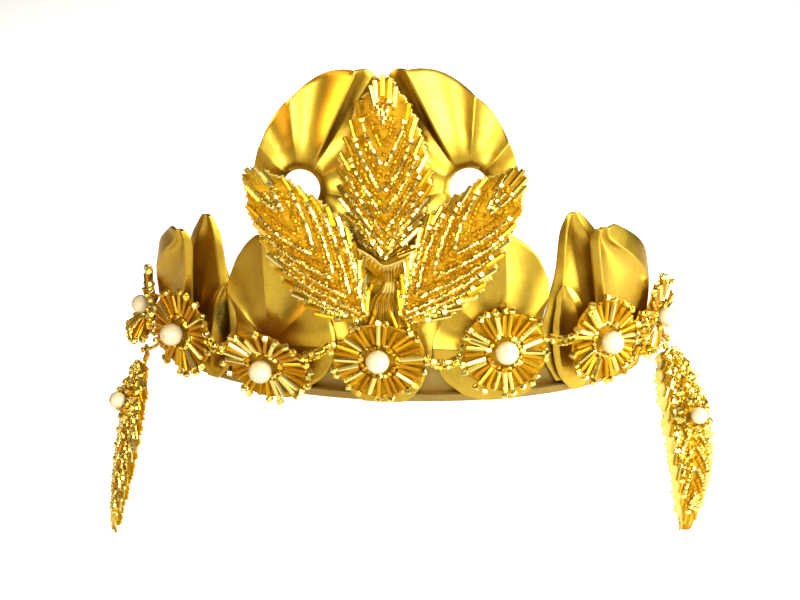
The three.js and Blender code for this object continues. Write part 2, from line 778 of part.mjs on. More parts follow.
/** Seed beads in a row, the thread filling the waists between them. */
function seedRow(start, end, sag) {
  const length = start.distanceTo(end);
  const beads = Math.max(2, Math.round(length / (2 * SEED_RADIUS)));
  const along = end.clone().sub(start).normalize();
  const stations = [];
  for (let i = 0; i < beads; i += 1) {
    SEED_SHAPE.forEach(({ share, radius }) => {
      const s = (i + share) / beads;
      const centre = start.clone().lerp(end, s);
      centre.z -= sag * 4 * s * (1 - s);
      stations.push({ centre, radius: radius * SEED_RADIUS, along });
    });
  }
  return bar(stations, 6);
}

STRANDS.forEach(({ rise, sag }, i) => {
  const ends = [0, 1].map((k) => {
    const frame = flowerFrames[i + k];
    const { wide } = FLOWERS[i + k];
    const reach = (FLOWER_RADIUS + FLOWER.strandOut) * wide;
    const heart = new THREE.Vector3(0, 0, FLOWER.cloth + SEED_RADIUS);
    const other = heart.clone().applyMatrix4(flowerFrames[i + 1 - k]);
    const towards = other.applyMatrix4(frame.clone().invert()).setZ(0).normalize();
    const tied = towards.setY(towards.y + rise).normalize();
    return heart.addScaledVector(tied, reach).applyMatrix4(frame);
  });
  add(`bead_strand_${i + 1}`, solidFrom(seedRow(ends[0], ends[1], sag)), 'beadwork');
});

// ---- side drops: a beaded leaf with a small flower, hung by a ring on a wire hook --------------

/**
 * angle, out and hangs place the pin that a drop swings on. lean is how far the drop stands away
 * from upright at its top and at its tip, faces the plan angle between the brow and its face.
 */
const DROPS = [
  {
    side: 'left',
    sign: -1,
    angle: 85,
    out: 8.2,
    hangs: -2.4,
    faces: 54,
    leanTop: 16,
    leanTip: 11,
    length: 61.5,
    twist: -6,
    flowerPlace: 0.23,
  },
  {
    side: 'right',
    sign: 1,
    angle: 95,
    out: 9.4,
    hangs: 4.5,
    faces: 38,
    leanTop: 43,
    leanTip: -12,
    length: 63,
    twist: 0,
    flowerPlace: 0.36,
  },
];

const DROP = {
  hookWire: 0.6, // radius
  hookNeck: 0.8, // length of the root, square to the rim
  hookTip: 2.2, // length of the straight end that carries the ring
  solderFrom: 0.3, // the bead of solder past the straight end
  solderTo: 1,
  solderRadius: 1,
  ringHole: 0.95, // radius
  ringWire: 0.42, // radius
  tied: 0.5, // the first bead of the stem, below the ring's hole
  stem: 5, // from the hook's wire to the top of the leaf
  thickness: 1.5,
  dome: 1.3,
  flowerRadius: 6.2,
  flowerBugles: 10,
  leafBugles: 7,
  pearlRadius: 3.4,
};

const DROP_HALF_WIDTH = [
  { half: 4.2 },
  { half: 7.6 },
  { half: 8.7 },
  { half: 9 },
  { half: 8.8 },
  { half: 7.3 },
  { half: 4.9 },
  { half: 1.6 },
];

/** The way a drop faces, level. */
function dropFacing({ sign, faces }) {
  const t = radians(faces);
  return new THREE.Vector3(sign * Math.sin(t), -Math.cos(t), 0);
}

function hangingPoint({ sign, angle, out, hangs }) {
  return bandPoint(sign * angle, out, hangs);
}

/** The wire pin, from the rim out under the end flower, with a bead of solder on its end. */
function hook(drop) {
  const ahead = dropFacing(drop);
  const hangs = hangingPoint(drop);
  const root = bandPoint(drop.sign * drop.angle, GAP, RIM_HEIGHT / 2);
  const outward = outwardAt(drop.sign * drop.angle);
  const bend = hangs.clone().addScaledVector(ahead, -DROP.hookTip);
  const tip = hangs.clone().addScaledVector(ahead, DROP.hookTip / 2);
  const slope = bend.clone().sub(root).normalize();
  const stations = [
    { centre: root, radius: DROP.hookWire, along: outward },
    { centre: root.clone().addScaledVector(outward, DROP.hookNeck), radius: DROP.hookWire, along: slope },
    { centre: bend, radius: DROP.hookWire, along: slope.clone().add(ahead).normalize() },
    { centre: tip, radius: DROP.hookWire, along: ahead },
    ...[DROP.solderFrom, DROP.solderTo].map((on) => ({
      centre: tip.clone().addScaledVector(ahead, on),
      radius: DROP.solderRadius,
      along: ahead,
    })),
  ];
  return bar(stations, 8);
}

/** The frame of a hanging drop: its origin on the hook's wire, -Y down, +Z the way it faces. */
function dropFrame(drop) {
  const ahead = dropFacing(drop);
  const up = new THREE.Vector3(0, 0, 1);
  const frame = new THREE.Matrix4().makeBasis(up.clone().cross(ahead), up, ahead);
  return frame.setPosition(hangingPoint(drop));
}

/** Where a drop runs, some way down it: its lean and its twist ease from its top to its tip. */
function alongDrop({ leanTop, leanTip, length, twist }, distance) {
  const steps = 12;
  const reach = distance / (DROP.stem + length);
  const leanAt = (share) => {
    const pastStem = THREE.MathUtils.smoothstep(share * (DROP.stem + length), 1, DROP.stem + 1);
    return radians(lerp(leanTop, leanTip, Math.min(share, 1)) * pastStem);
  };
  const place = new THREE.Vector3();
  for (let i = 0; i < steps; i += 1) {
    const lean = leanAt((reach * (i + 0.5)) / steps);
    place.y -= (distance / steps) * Math.cos(lean);
    place.z += (distance / steps) * Math.sin(lean);
  }
  const turned = new THREE.Matrix4().makeRotationX(-leanAt(reach));
  turned.multiply(new THREE.Matrix4().makeRotationY(radians(twist * reach)));
  return turned.setPosition(place);
}

/** Bends a flat piece, which runs along -Y from the hook, to the way the drop hangs. */
function hungSolid(drop, triangles) {
  const bend = (p) => new THREE.Vector3(p.x, 0, p.z).applyMatrix4(alongDrop(drop, -p.y));
  return solidFrom(triangles.map((corners) => corners.map(bend)));
}

const wasm = await Module();
wasm.setup();

/** A three.js geometry as a manifold solid. */
function toManifold(geometry) {
  const bare = new THREE.BufferGeometry();
  bare.setAttribute('position', geometry.getAttribute('position'));
  bare.setIndex(geometry.index);
  const merged = mergeVertices(bare, 1e-4);
  return new wasm.Manifold(new wasm.Mesh({
    numProp: 3,
    vertProperties: new Float32Array(merged.getAttribute('position').array),
    triVerts: new Uint32Array(merged.index.array),
  }));
}

/** Two solids joined in one. */
function joined(first, second) {
  const mesh = toManifold(first).add(toManifold(second)).getMesh();
  const geometry = new THREE.BufferGeometry();
  geometry.setAttribute('position', new THREE.BufferAttribute(mesh.vertProperties, 3));
  geometry.setIndex(new THREE.BufferAttribute(mesh.triVerts, 1));
  return geometry;
}

/** The ring round the hook and the short beaded stem below it. */
function dropLoop(drop) {
  const ring = new THREE.TorusGeometry(DROP.ringHole + DROP.ringWire, DROP.ringWire, 5, 12);
  const top = new THREE.Vector3(0, -DROP.ringHole - DROP.tied, 0);
  const foot = new THREE.Vector3(0, -DROP.stem + GAP, 0);
  return joined(ring, hungSolid(drop, seedRow(top, foot, 0)));
}

function dropLeaf(drop) {
  const flat = beadedLeaf({
    length: drop.length,
    width: 1,
    tuck: [1, 1],
    widths: DROP_HALF_WIDTH,
    bugles: DROP.leafBugles,
    thickness: DROP.thickness,
    dome: DROP.dome,
  });
  const below = (p) => new THREE.Vector3(-p.x, -DROP.stem - p.y, p.z);
  return hungSolid(drop, flat.map((corners) => corners.map(below)));
}

DROPS.forEach((drop) => {
  const frame = dropFrame(drop);
  const onLeaf = (depth) => {
    const down = DROP.stem + drop.length * drop.flowerPlace;
    const seat = alongDrop(drop, down).multiply(new THREE.Matrix4().makeTranslation(0, 0, depth));
    return frame.clone().multiply(seat);
  };
  const flowerSeat = DROP.thickness + DROP.dome + GAP;
  const pearlSeat = flowerSeat + FLOWER.pearlSeat + GAP + DROP.pearlRadius;
  const flower = beadedFlower({
    radius: DROP.flowerRadius,
    bugles: DROP.flowerBugles,
    seedRing: FLOWER.seedRing - 1,
    wide: 1,
    tall: 1,
    fold: 0,
  });
  add(`drop_hook_${drop.side}`, solidFrom(hook(drop)), 'gilt');
  add(`drop_loop_${drop.side}`, dropLoop(drop), 'beadwork', frame);
  add(`drop_leaf_${drop.side}`, dropLeaf(drop), 'beadwork', frame);
  add(`drop_flower_${drop.side}`, solidFrom(flower), 'beadwork', onLeaf(flowerSeat));
  add(`drop_pearl_${drop.side}`, pearl(DROP.pearlRadius), 'pearl', onLeaf(pearlSeat));
});

export default tiara;
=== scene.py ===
# A gilt tiara dressed with beadwork. Sizes are in millimetres, and become metres as each piece is
# made. The brow faces -Y, +Z is up, and the origin is the centre of the head opening.
import bmesh
import bpy
import math
import random
from mathutils import Matrix, Vector, noise


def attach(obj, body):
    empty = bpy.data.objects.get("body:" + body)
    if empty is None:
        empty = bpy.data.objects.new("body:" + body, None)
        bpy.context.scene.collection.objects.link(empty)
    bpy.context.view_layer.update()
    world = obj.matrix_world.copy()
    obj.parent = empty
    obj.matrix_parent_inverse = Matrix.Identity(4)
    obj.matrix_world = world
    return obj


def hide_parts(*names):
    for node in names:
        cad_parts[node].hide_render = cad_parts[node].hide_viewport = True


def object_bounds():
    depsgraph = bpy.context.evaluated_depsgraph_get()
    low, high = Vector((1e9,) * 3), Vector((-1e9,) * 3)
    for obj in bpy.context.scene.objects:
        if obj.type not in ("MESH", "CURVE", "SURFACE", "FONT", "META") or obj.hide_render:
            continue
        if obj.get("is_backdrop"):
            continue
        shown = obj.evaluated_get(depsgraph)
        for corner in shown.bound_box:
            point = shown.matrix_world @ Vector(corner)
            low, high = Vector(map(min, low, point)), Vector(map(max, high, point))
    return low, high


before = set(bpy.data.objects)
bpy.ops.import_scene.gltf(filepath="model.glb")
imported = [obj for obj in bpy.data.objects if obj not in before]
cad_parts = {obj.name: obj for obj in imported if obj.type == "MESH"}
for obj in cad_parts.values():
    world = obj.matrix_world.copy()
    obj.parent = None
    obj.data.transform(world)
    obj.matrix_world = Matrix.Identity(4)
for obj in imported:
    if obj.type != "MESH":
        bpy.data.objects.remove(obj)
cad_low, cad_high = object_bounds()
TO_METRES = 0.001

# ---- Camera ---------------------------------------------------------------------------------
# A short telephoto lens a little over half a metre before the brow, raised by nineteen degrees
# and standing slightly to the right of the middle line.

camera_lens = bpy.data.cameras.new("camera")
camera_lens.sensor_width = 36
camera_lens.lens = 81.1
camera_lens.clip_start = 0.01
camera = bpy.data.objects.new("camera", camera_lens)
bpy.context.collection.objects.link(camera)
stands_at = Vector((67.3, -572.2, 218.5)) * TO_METRES
looks_at = Vector((-0.5, 0, 16.7)) * TO_METRES
level = (looks_at - stands_at).to_track_quat("-Z", "Y").to_matrix().to_4x4()
roll = Matrix.Rotation(math.radians(-0.3), 4, "Z")
camera.matrix_world = Matrix.Translation(stands_at) @ level @ roll
bpy.context.scene.camera = camera

# ---- Floor and light ------------------------------------------------------------------------
# A pale paper floor under the hanging drops, and a dim warm room for the gilding to reflect. Soft
# lights stand before the brow and on the right, a weaker warm one on the left and one behind.

FLOOR_SIZE = 4
FLOOR_BELOW = 0.08
scene = bpy.context.scene
scene.view_settings.view_transform = "Standard"


def node_adder(tree, end):
    """A helper that adds nodes to a tree and can feed them to a socket of its end node."""
    def feed(socket, value):
        if isinstance(value, bpy.types.NodeSocket):
            tree.links.new(value, socket)
        else:
            socket.default_value = value

    def add(kind, into=None, output=0, numbered=(), **settings):
        """A node, fed by its sockets' names or numbers. It gives back one of its outputs."""
        node = tree.nodes.new("ShaderNode" + kind)
        for key, value in settings.items():
            socket = node.inputs.get(key.replace("_", " "))
            if socket is None:
                setattr(node, key, value)
            else:
                feed(socket, value)
        for number, value in numbered:
            feed(node.inputs[number], value)
        if into:
            tree.links.new(node.outputs[output], end.inputs[into])
        return node.outputs[output]

    return add


def new_finish(name, **sockets):
    """A material with its Principled shader's own sockets set, and its node helper."""
    material = bpy.data.materials.new(name)
    material.use_nodes = True
    shader = material.node_tree.nodes["Principled BSDF"]
    for key, value in sockets.items():
        shader.inputs[key.replace("_", " ")].default_value = value
    return material, node_adder(material.node_tree, shader)


# The paper glows a little to the eye, which the gilding doesn't reflect.
floor_shape = bmesh.new()
bmesh.ops.create_grid(floor_shape, x_segments=2, y_segments=2, size=FLOOR_SIZE)
bmesh.ops.translate(floor_shape, vec=(0, 0, cad_low.z - FLOOR_BELOW), verts=floor_shape.verts)
floor_mesh = bpy.data.meshes.new("floor")
floor_shape.to_mesh(floor_mesh)
floor_shape.free()
paper, add = new_finish(
    "floor_paper", Base_Color=(0.88, 0.85, 0.79, 1), Roughness=0.9, Emission_Color=(1, 1, 0.99, 1),
)
add("MapRange", "Emission Strength", Value=add("LightPath", output="Is Camera Ray"), To_Max=0.55)
floor_mesh.materials.append(paper)
floor = bpy.data.objects.new("floor", floor_mesh)
bpy.context.collection.objects.link(floor)
floor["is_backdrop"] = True

# The eye sees a pale wall beyond the paper, and the gilding sees the dim room.
world = bpy.data.worlds.new("room")
scene.world = world
world.use_nodes = True
room_light = world.node_tree.nodes["Background"]
room_light.inputs["Color"].default_value = (1, 0.68, 0.3, 1)
room_light.inputs["Strength"].default_value = 0.1
add = node_adder(world.node_tree, world.node_tree.nodes["World Output"])
seen = add("LightPath", output="Is Camera Ray")
pale_wall = add("Background", Strength=1)
add("MixShader", "Surface", numbered=((0, seen), (1, room_light.outputs[0]), (2, pale_wall)))


def table(columns, *rows):
    """A table's rows, each value under the name of its column."""
    return [dict(zip(columns.split(), row)) for row in rows]


SOFT_LIGHTS = table(
    "name from to size spread power colour",
    ("key", (0.42, -0.8, 0.36), (0, 0, 0.03), 0.42, 150, 4.8, (0.94, 1, 0.86)),
    ("front", (-0.12, -1.0, 0.26), (0, 0, 0.04), 0.26, 120, 1.6, (0.95, 1, 0.88)),
    ("right", (0.85, -0.14, -0.03), (0.05, 0, 0.04), 0.2, 100, 1.1, (0.95, 1, 0.84)),
    ("side", (0.95, -0.05, 0.3), (0.05, 0, 0.02), 0.4, 120, 4.5, (0.94, 1, 0.86)),
    ("fill", (-0.78, -0.5, 0.32), (0, 0, 0.02), 0.25, 100, 1.05, (1, 0.64, 0.22)),
    ("back", (0.1, 1.2, 0.95), (0.05, 0.85, -0.15), 1.5, 60, 6, (1, 1, 1)),
)
for lamp in SOFT_LIGHTS:
    light = bpy.data.lights.new(lamp["name"] + "_light", "AREA")
    light.size = lamp["size"]
    light.spread = math.radians(lamp["spread"])
    light.energy = lamp["power"]
    light.color = lamp["colour"]
    stand = bpy.data.objects.new(lamp["name"] + "_light", light)
    stand.location = lamp["from"]
    aim = Vector(lamp["to"]) - stand.location
    stand.rotation_euler = aim.to_track_quat("-Z", "Y").to_euler()
    bpy.context.collection.objects.link(stand)

# ---- Band -----------------------------------------------------------------------------------
# A strip of gilt brass bent to the head from temple to temple. Its lower edge is folded out into
# a rim that the plates and the beadwork are fixed to.

BAND_HALF_WIDTH = 80
BAND_DEPTH = 49.3
BAND_END = 97
RIM_HEIGHT = 3
RIM_PROUD = 3
WALL_HEIGHT = 18
WALL_THICKNESS = 1.5
EASED = 0.4
BAND_COLUMNS = 144
SHARP_FROM = math.radians(32)
WELD = 0.01
UP = Vector((0, 0, 1))


def lerp(start, end, share):
    return start + (end - start) * share


def smoothstep(x, low, high):
    """Rises from 0 at low to 1 at high, level at both ends."""
    share = min(max((x - low) / (high - low), 0), 1)
    return share * share * (3 - 2 * share)


def outward_at(angle):
    """The direction square to the band, away from the head, at a plan angle from the brow."""
    turn = math.radians(angle)
    return Vector((BAND_DEPTH * math.sin(turn), -BAND_HALF_WIDTH * math.cos(turn), 0)).normalized()


def band_point(angle, out, height):
    """A point before the band's outer edge, at a plan angle from the brow."""
    turn = math.radians(angle)
    foot = Vector((BAND_HALF_WIDTH * math.sin(turn), -BAND_DEPTH * math.cos(turn), height))
    return foot + out * outward_at(angle)


def patch(columns, rows, place, ridges=(), hem_and_highlight=None):
    """A grid laid out by place(u, v), which closes where its edges meet. The ridges are columns that are
    rounded later, and the hem function says how pale each point is: near a leaf's fraying hem, and with
    painted highlights on the knot's cloth."""
    shape = bmesh.new()
    bmesh.ops.create_grid(shape, x_segments=columns, y_segments=rows, size=0.5)
    uv = shape.loops.layers.uv.new("UVMap")
    weight = shape.edges.layers.float.new("bevel_weight_edge")
    for face in shape.faces:
        face.smooth = True
        for corner in face.loops:
            corner[uv].uv = (corner.vert.co.x + 0.5, corner.vert.co.y + 0.5)
    for edge in shape.edges:
        first, second = (round((vert.co.x + 0.5) * columns) for vert in edge.verts)
        edge[weight] = float(first == second and first in ridges)
    pale_layer = shape.verts.layers.float.new("hem_and_highlight") if hem_and_highlight else None
    for vert in shape.verts:
        if hem_and_highlight:
            vert[pale_layer] = hem_and_highlight(vert.co.x + 0.5, vert.co.y + 0.5)
        vert.co = place(vert.co.x + 0.5, vert.co.y + 0.5)
    bmesh.ops.remove_doubles(shape, verts=shape.verts, dist=WELD)
    return shape


def add_piece(name, mesh, body, material, replaced):
    """A finished piece that rides on its body and stands for its solids."""
    mesh.materials.append(material)
    piece = bpy.data.objects.new(name, mesh)
    bpy.context.collection.objects.link(piece)
    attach(piece, body)
    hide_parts(*replaced)
    return piece


def make_piece(name, shape, body, material, replaced):
    """A piece from a mesh in millimetres."""
    bmesh.ops.scale(shape, vec=(TO_METRES,) * 3, verts=shape.verts)
    mesh = bpy.data.meshes.new(name)
    shape.to_mesh(mesh)
    shape.free()
    return add_piece(name, mesh, body, material, replaced)


def speckle(add, scale, detail=3):
    """Noise in the object's own space."""
    return add("TexNoise", Vector=add("TexCoord", output="Object"), Scale=scale, Detail=detail)


def blend_colours(add, share, first, second, into=None):
    """Two colours that go over into each other in the middle of the share."""
    colour = add("ValToRGB", into, Fac=share)
    for stop, place, tone in zip(colour.node.color_ramp.elements, (0.3, 0.7), (first, second)):
        stop.position = place
        stop.color = (*tone, 1)
    return colour


def mixed(add, share, first, second, into=None):
    """The first colour, and as much of the second over it as the share says."""
    return add("Mix", into, 2, ((0, share), (6, first), (7, second)), data_type="RGBA")


# Satin gilding: a shade redder in places, its gloss broken by faint wear, over fine sandblasting.
GILDING = table(
    "name pale red rough",
    ("satin_gilt", (0.665, 0.435, 0.045), (0.55, 0.33, 0.02), (0.3, 0.41)),
    # The band's gilt is darker, browner and rougher than the plates'.
    ("inner_gilt", (0.40, 0.26, 0.07), (0.34, 0.21, 0.045), (0.4, 0.52)),
)


def gilding(name, pale, red, rough):
    """Gilt that goes over to dull brown as painted shade, as far as a point attribute for shade says."""
    material, add = new_finish(
        name, Metallic=1.0, Coat_Weight=0.4, Coat_Roughness=0.25, Specular_Tint=(1, 0.8, 0.45, 1),
    )
    tint = blend_colours(add, speckle(add, 45), red, pale)
    grain = add(
        "MapRange", Value=speckle(add, 1100, 2), From_Min=0.3, From_Max=0.7, To_Min=0.9, To_Max=1.06,
    )
    grained = add("VectorMath", operation="SCALE", Vector=tint, Scale=grain)
    # Painted shade: a near-black brown that the shade attribute mixes into the gilt's colour.
    dark = blend_colours(add, speckle(add, 1400), (0.03, 0.025, 0.006), (0.22, 0.17, 0.03))
    painted_shade = add("Attribute", output="Fac", attribute_name="painted_shade")
    mixed(add, painted_shade, grained, dark, "Base Color")
    add(
        "MapRange", "Roughness", Value=speckle(add, 120, 5), From_Min=0.35, From_Max=0.7,
        To_Min=rough[0], To_Max=rough[1],
    )
    add("Bump", "Normal", Strength=0.12, Distance=0.00006, Height=speckle(add, 900, 2))
    return material


gilt, inner_gilt = (gilding(**kind) for kind in GILDING)

BAND_PROFILE = table(
    "out height",
    (-4.5, 0.3),
    (-4.2, 0),
    (-0.5, 0),
    (0, 0.5),
    (0, 2.5),
    (-0.5, RIM_HEIGHT),
    (-RIM_PROUD, RIM_HEIGHT),
    (-RIM_PROUD, WALL_HEIGHT - EASED),
    (-RIM_PROUD - EASED, WALL_HEIGHT),
    (-RIM_PROUD - WALL_THICKNESS + EASED, WALL_HEIGHT),
    (-RIM_PROUD - WALL_THICKNESS, WALL_HEIGHT - EASED),
)


def on_band(u, v):
    """The profile, carried round from temple to temple."""
    row = BAND_PROFILE[round(v * len(BAND_PROFILE)) % len(BAND_PROFILE)]
    return band_point(lerp(-BAND_END, BAND_END, u), row["out"], row["height"])


band = patch(BAND_COLUMNS, len(BAND_PROFILE), on_band)
bmesh.ops.holes_fill(band, edges=band.edges)
bmesh.ops.recalc_face_normals(band, faces=band.faces)
band_piece = make_piece("band_strip", band, "tiara", inner_gilt, ["band"])
band_piece.data.polygons.foreach_set("use_smooth", [True] * len(band_piece.data.polygons))
band_piece.data.set_sharp_from_angle(angle=SHARP_FROM)

# ---- Crest plate ----------------------------------------------------------------------------
# Pressed brass sheet with two lobes. Flutes spread from a countersunk hole in each lobe, and the
# sheet dips between their ridges. It leans back from its foot before the rim.

SEEN_SHEET = 1.1
RIDGE_ROUND = 0.22
EDGE_ROUND = 0.25
FRONT_LAYER = 1.2
BACK_LAYER = -1.4
ASKEW = 0.035
ASKEW_PIVOT = 45
CREST_LEAN = math.radians(11)
CREST_STANDS_OUT = 1
CREST_BOW = 2.2
CREST_DEEPEST = 2.6
FLUTES_BEGIN = (14, 38)
CREST_CENTRE = 66
CREST_RADIUS = 41.7
# Half of the top: the notch and its rounded edge, then the lobe, which goes on as an arc.
CREST_TOP = {"notch": (0, 101), "edge": (1.6, 101.5), "to_lobe": (3, 105), "lobe": (7.5, 105.2)}
CREST_TO_ARC = (14, 105.5)
CREST_ARC = (61, -20)
ARC_STEPS = 40
CREST_WAIST = table(
    "bend end",
    ((30, 46), (22.5, 37)),
    ((17, 30), (16.5, 23)),
    ((16, 12), (13, 8)),
    ((9.5, 1), (5, 0.8)),
)
CREST_HOLE = {"x": 26.2, "y": 67.3, "radius": 6.3}
COUNTERSINK = {"width": 1.5, "depth": 1.0, "corners": 0.2}
FLUTES = {"per_flute": 12, "rows": 18, "dip": 0.13}
RISE_PACE = 1.6
SINK_PACE = 2
TINY = 1e-9

CREST_RIDGES = table(
    "turn lift",
    (5, 1.2),
    (48, 1.6),
    (85, 2),
    (116, 2.8),
    (123.5, -0.4),
    (149, 1.2),
    (185, 1),
    (218, 1.2),
    (248.5, 0.9),
    (257, 0.6),
    (285, 1),
    (325, 1.2),
)


def lean_askew(point):
    """The lean to one side that all the standing plates have."""
    share = min(point.z / ASKEW_PIVOT, 1)
    x = point.x - ASKEW * (point.z - ASKEW_PIVOT) * share
    return Vector((x, point.y, point.z + ASKEW * point.x * share))


def curve_through(start, bend, end, steps=12):
    """Points of a curve from start to end that is drawn towards bend, without its start."""
    shares = [(i + 1) / steps for i in range(steps)]
    first, pull, last = Vector(start), Vector(bend), Vector(end)
    return [
        (1 - share) ** 2 * first + 2 * share * (1 - share) * pull + share * share * last
        for share in shares
    ]


def crest_outline():
    """Half of the outline, from the notch round to the foot."""
    turns = [math.radians(lerp(*CREST_ARC, i / ARC_STEPS)) for i in range(ARC_STEPS + 1)]
    arc = [
        Vector((CREST_RADIUS * math.cos(turn), CREST_CENTRE + CREST_RADIUS * math.sin(turn)))
        for turn in turns
    ]
    points = [Vector(CREST_TOP["notch"]), Vector(CREST_TOP["edge"])]
    points += curve_through(points[-1], CREST_TOP["to_lobe"], CREST_TOP["lobe"])
    points += curve_through(points[-1], CREST_TO_ARC, arc[0])
    points += arc[1:]
    for curve in CREST_WAIST:
        points += curve_through(points[-1], curve["bend"], curve["end"])
    return points + [Vector((0, points[-1].y))]


def reach_of(outline, hub, turn):
    """How far the outline lies from the hub in a direction."""
    way = Vector((math.cos(turn), math.sin(turn)))
    reach = 0
    for start, end in zip(outline, outline[1:] + outline[:1]):
        edge, to_start = end - start, start - hub
        cross = way.x * edge.y - way.y * edge.x
        if abs(cross) > TINY:
            along = (to_start.x * edge.y - to_start.y * edge.x) / cross
            share = (to_start.x * way.y - to_start.y * way.x) / cross
            if along > 0 and -TINY <= share <= 1 + TINY:
                reach = max(reach, along)
    return reach


def fluted(hub, hub_radius, outline, ridges, deepest, place):
    """A fluted sheet about its hub, laid out by place(x, y, depth)."""
    per_flute, rows = FLUTES["per_flute"], FLUTES["rows"]
    columns = per_flute * len(ridges)
    reaches = {}

    def at(u, v):
        column, row = round(u * columns) % columns, round(v * rows)
        ridge = ridges[column // per_flute]
        following = ridges[(column // per_flute + 1) % len(ridges)]
        share = column % per_flute / per_flute
        span = (following["turn"] - ridge["turn"]) % 360
        turn = math.radians(ridge["turn"] + span * share)
        if column not in reaches:
            reaches[column] = reach_of(outline, hub, turn)
        radius = lerp(hub_radius, reaches[column], v)
        grown = math.sin(min(v * RISE_PACE, 1) * math.pi / 2)
        hollow = min(FLUTES["dip"] * math.radians(span) * radius, deepest)
        depth = lerp(ridge["lift"], following["lift"], share) * grown
        depth -= hollow * 4 * share * (1 - share) * min(v * SINK_PACE, 1)
        if hub_radius and row == 0:
            radius, depth = hub_radius, -COUNTERSINK["depth"]
        elif hub_radius and row == 1:
            corner = 1 + COUNTERSINK["corners"] * abs(2 * share - 1)
            radius, depth = hub_radius + COUNTERSINK["width"] * corner, 0
        return place(hub.x + radius * math.cos(turn), hub.y + radius * math.sin(turn), depth)

    return patch(columns, rows, at, range(0, columns + 1, per_flute))


def thicken(piece, thickness):
    """Gives a sheet its thickness, half of it to each side."""
    wall = piece.modifiers.new("wall", "SOLIDIFY")
    wall.thickness = thickness * TO_METRES
    wall.offset = 0


def soften(piece, name, limit, width):
    """Rounds the edges that the limit picks."""
    soft = piece.modifiers.new(name, "BEVEL")
    soft.limit_method = limit
    soft.width = width * TO_METRES
    soft.segments = 2
    soft.harden_normals = True
    return soft


def finish_plate(piece):
    """Rounds a plate's ridges, gives it its thickness and takes the sharpness off its edges."""
    soften(piece, "ridges", "WEIGHT", RIDGE_ROUND)
    thicken(piece, SEEN_SHEET)
    soften(piece, "edges", "ANGLE", EDGE_ROUND).angle_limit = math.radians(60)


def on_crest_half(sign):
    """Lays half of the crest on its leaning plane, bowed back towards its outer side."""
    foot = band_point(0, FRONT_LAYER + CREST_STANDS_OUT, 0)

    def place(x, y, depth):
        calm = smoothstep(y, *FLUTES_BEGIN)
        out = (depth - CREST_BOW * (x / CREST_RADIUS) ** 2) * calm
        height = y * math.cos(CREST_LEAN) - out * math.sin(CREST_LEAN) * calm
        back = y * math.sin(CREST_LEAN) - out * math.cos(CREST_LEAN)
        return lean_askew(Vector((sign * x, foot.y + back, height)))

    return place


crest = bmesh.new()
for sign in (-1, 1):
    half = fluted(
        Vector((CREST_HOLE["x"], CREST_HOLE["y"])), CREST_HOLE["radius"], crest_outline(),
        CREST_RIDGES, CREST_DEEPEST, on_crest_half(sign),
    )
    if sign < 0:
        bmesh.ops.reverse_faces(half, faces=half.faces)
    joined = bpy.data.meshes.new("crest_half")
    half.to_mesh(joined)
    half.free()
    crest.from_mesh(joined)
    bpy.data.meshes.remove(joined)
bmesh.ops.remove_doubles(crest, verts=crest.verts, dist=WELD)
crest_piece = make_piece("crest_sheet", crest, "tiara", gilt, ["crest_plate"])
finish_plate(crest_piece)

# ---- Wing plates ----------------------------------------------------------------------------
# A pressed plate on each side of the crest, wrapped round the band before the rim. Its flutes
# spread from behind the flowers.

WING = {"angle": 27.3, "hub_height": 17, "deepest": 2.4, "flutes_begin": (4, 26)}
CORNER_PULL = 0.6
# The corners of the outline: how far each lies outwards along the rim, and its height.
WING_OUTLINE = [
    (0, 54.6), (2.4, 54), (7, 50.2), (11.6, 44.4), (14.6, 36.4), (12.4, 28), (12.2, 20), (11.7, 10),
    (9, 2.6), (5, 0.8), (-6, 0.8), (-12, 2.6), (-18.6, 8), (-21.4, 14.4), (-22.2, 20.6), (-18.9, 29.5),
    (-13.6, 37.5), (-7.6, 45.5), (-3, 52),
]
WING_RIDGES = table(
    "turn lift",
    (49.5, 1.6),
    (90, 2.2),
    (134, 1),
    (176, 0.8),
    (232, 0),
    (308, 0),
    (3, 0.4),
)
SIDES = {"left": -1, "right": 1}


def walk_rim(angle, distance):
    """The plan angle reached by walking a distance along the rim."""
    steps = 8
    for _ in range(steps):
        turn = math.radians(angle)
        pace = math.radians(1) * math.hypot(BAND_HALF_WIDTH * math.cos(turn), BAND_DEPTH * math.sin(turn))
        angle += distance / steps / pace
    return angle


def rounded(corners, steps=4):
    """A closed outline whose corners are drawn into curves between the middles of its sides."""
    points = [Vector(corner) for corner in corners]
    middles = [(first + second) / 2 for first, second in zip(points, points[1:] + points[:1])]
    outline = []
    for i, corner in enumerate(points):
        start, end = middles[i - 1], middles[i]
        pull = corner + (corner - (start + end) / 2) * CORNER_PULL
        outline += curve_through(start, pull, end, steps)
    return outline


for side, sign in SIDES.items():
    def on_wing(x, y, depth):
        out = FRONT_LAYER + depth * smoothstep(y, *WING["flutes_begin"])
        return lean_askew(band_point(sign * walk_rim(WING["angle"], x), out, y))

    hub = Vector((0, WING["hub_height"]))
    wing = fluted(hub, 0, rounded(WING_OUTLINE), WING_RIDGES, WING["deepest"], on_wing)
    wing_piece = make_piece(f"wing_sheet_{side}", wing, "tiara", gilt, [f"wing_plate_{side}"])
    finish_plate(wing_piece)

# ---- Petals ---------------------------------------------------------------------------------
# Pressed petals beside the wings: a hollow between two ridges, with flanks turned back at both
# edges. The tall ones stand on the rim, and the low and outer ones before it.

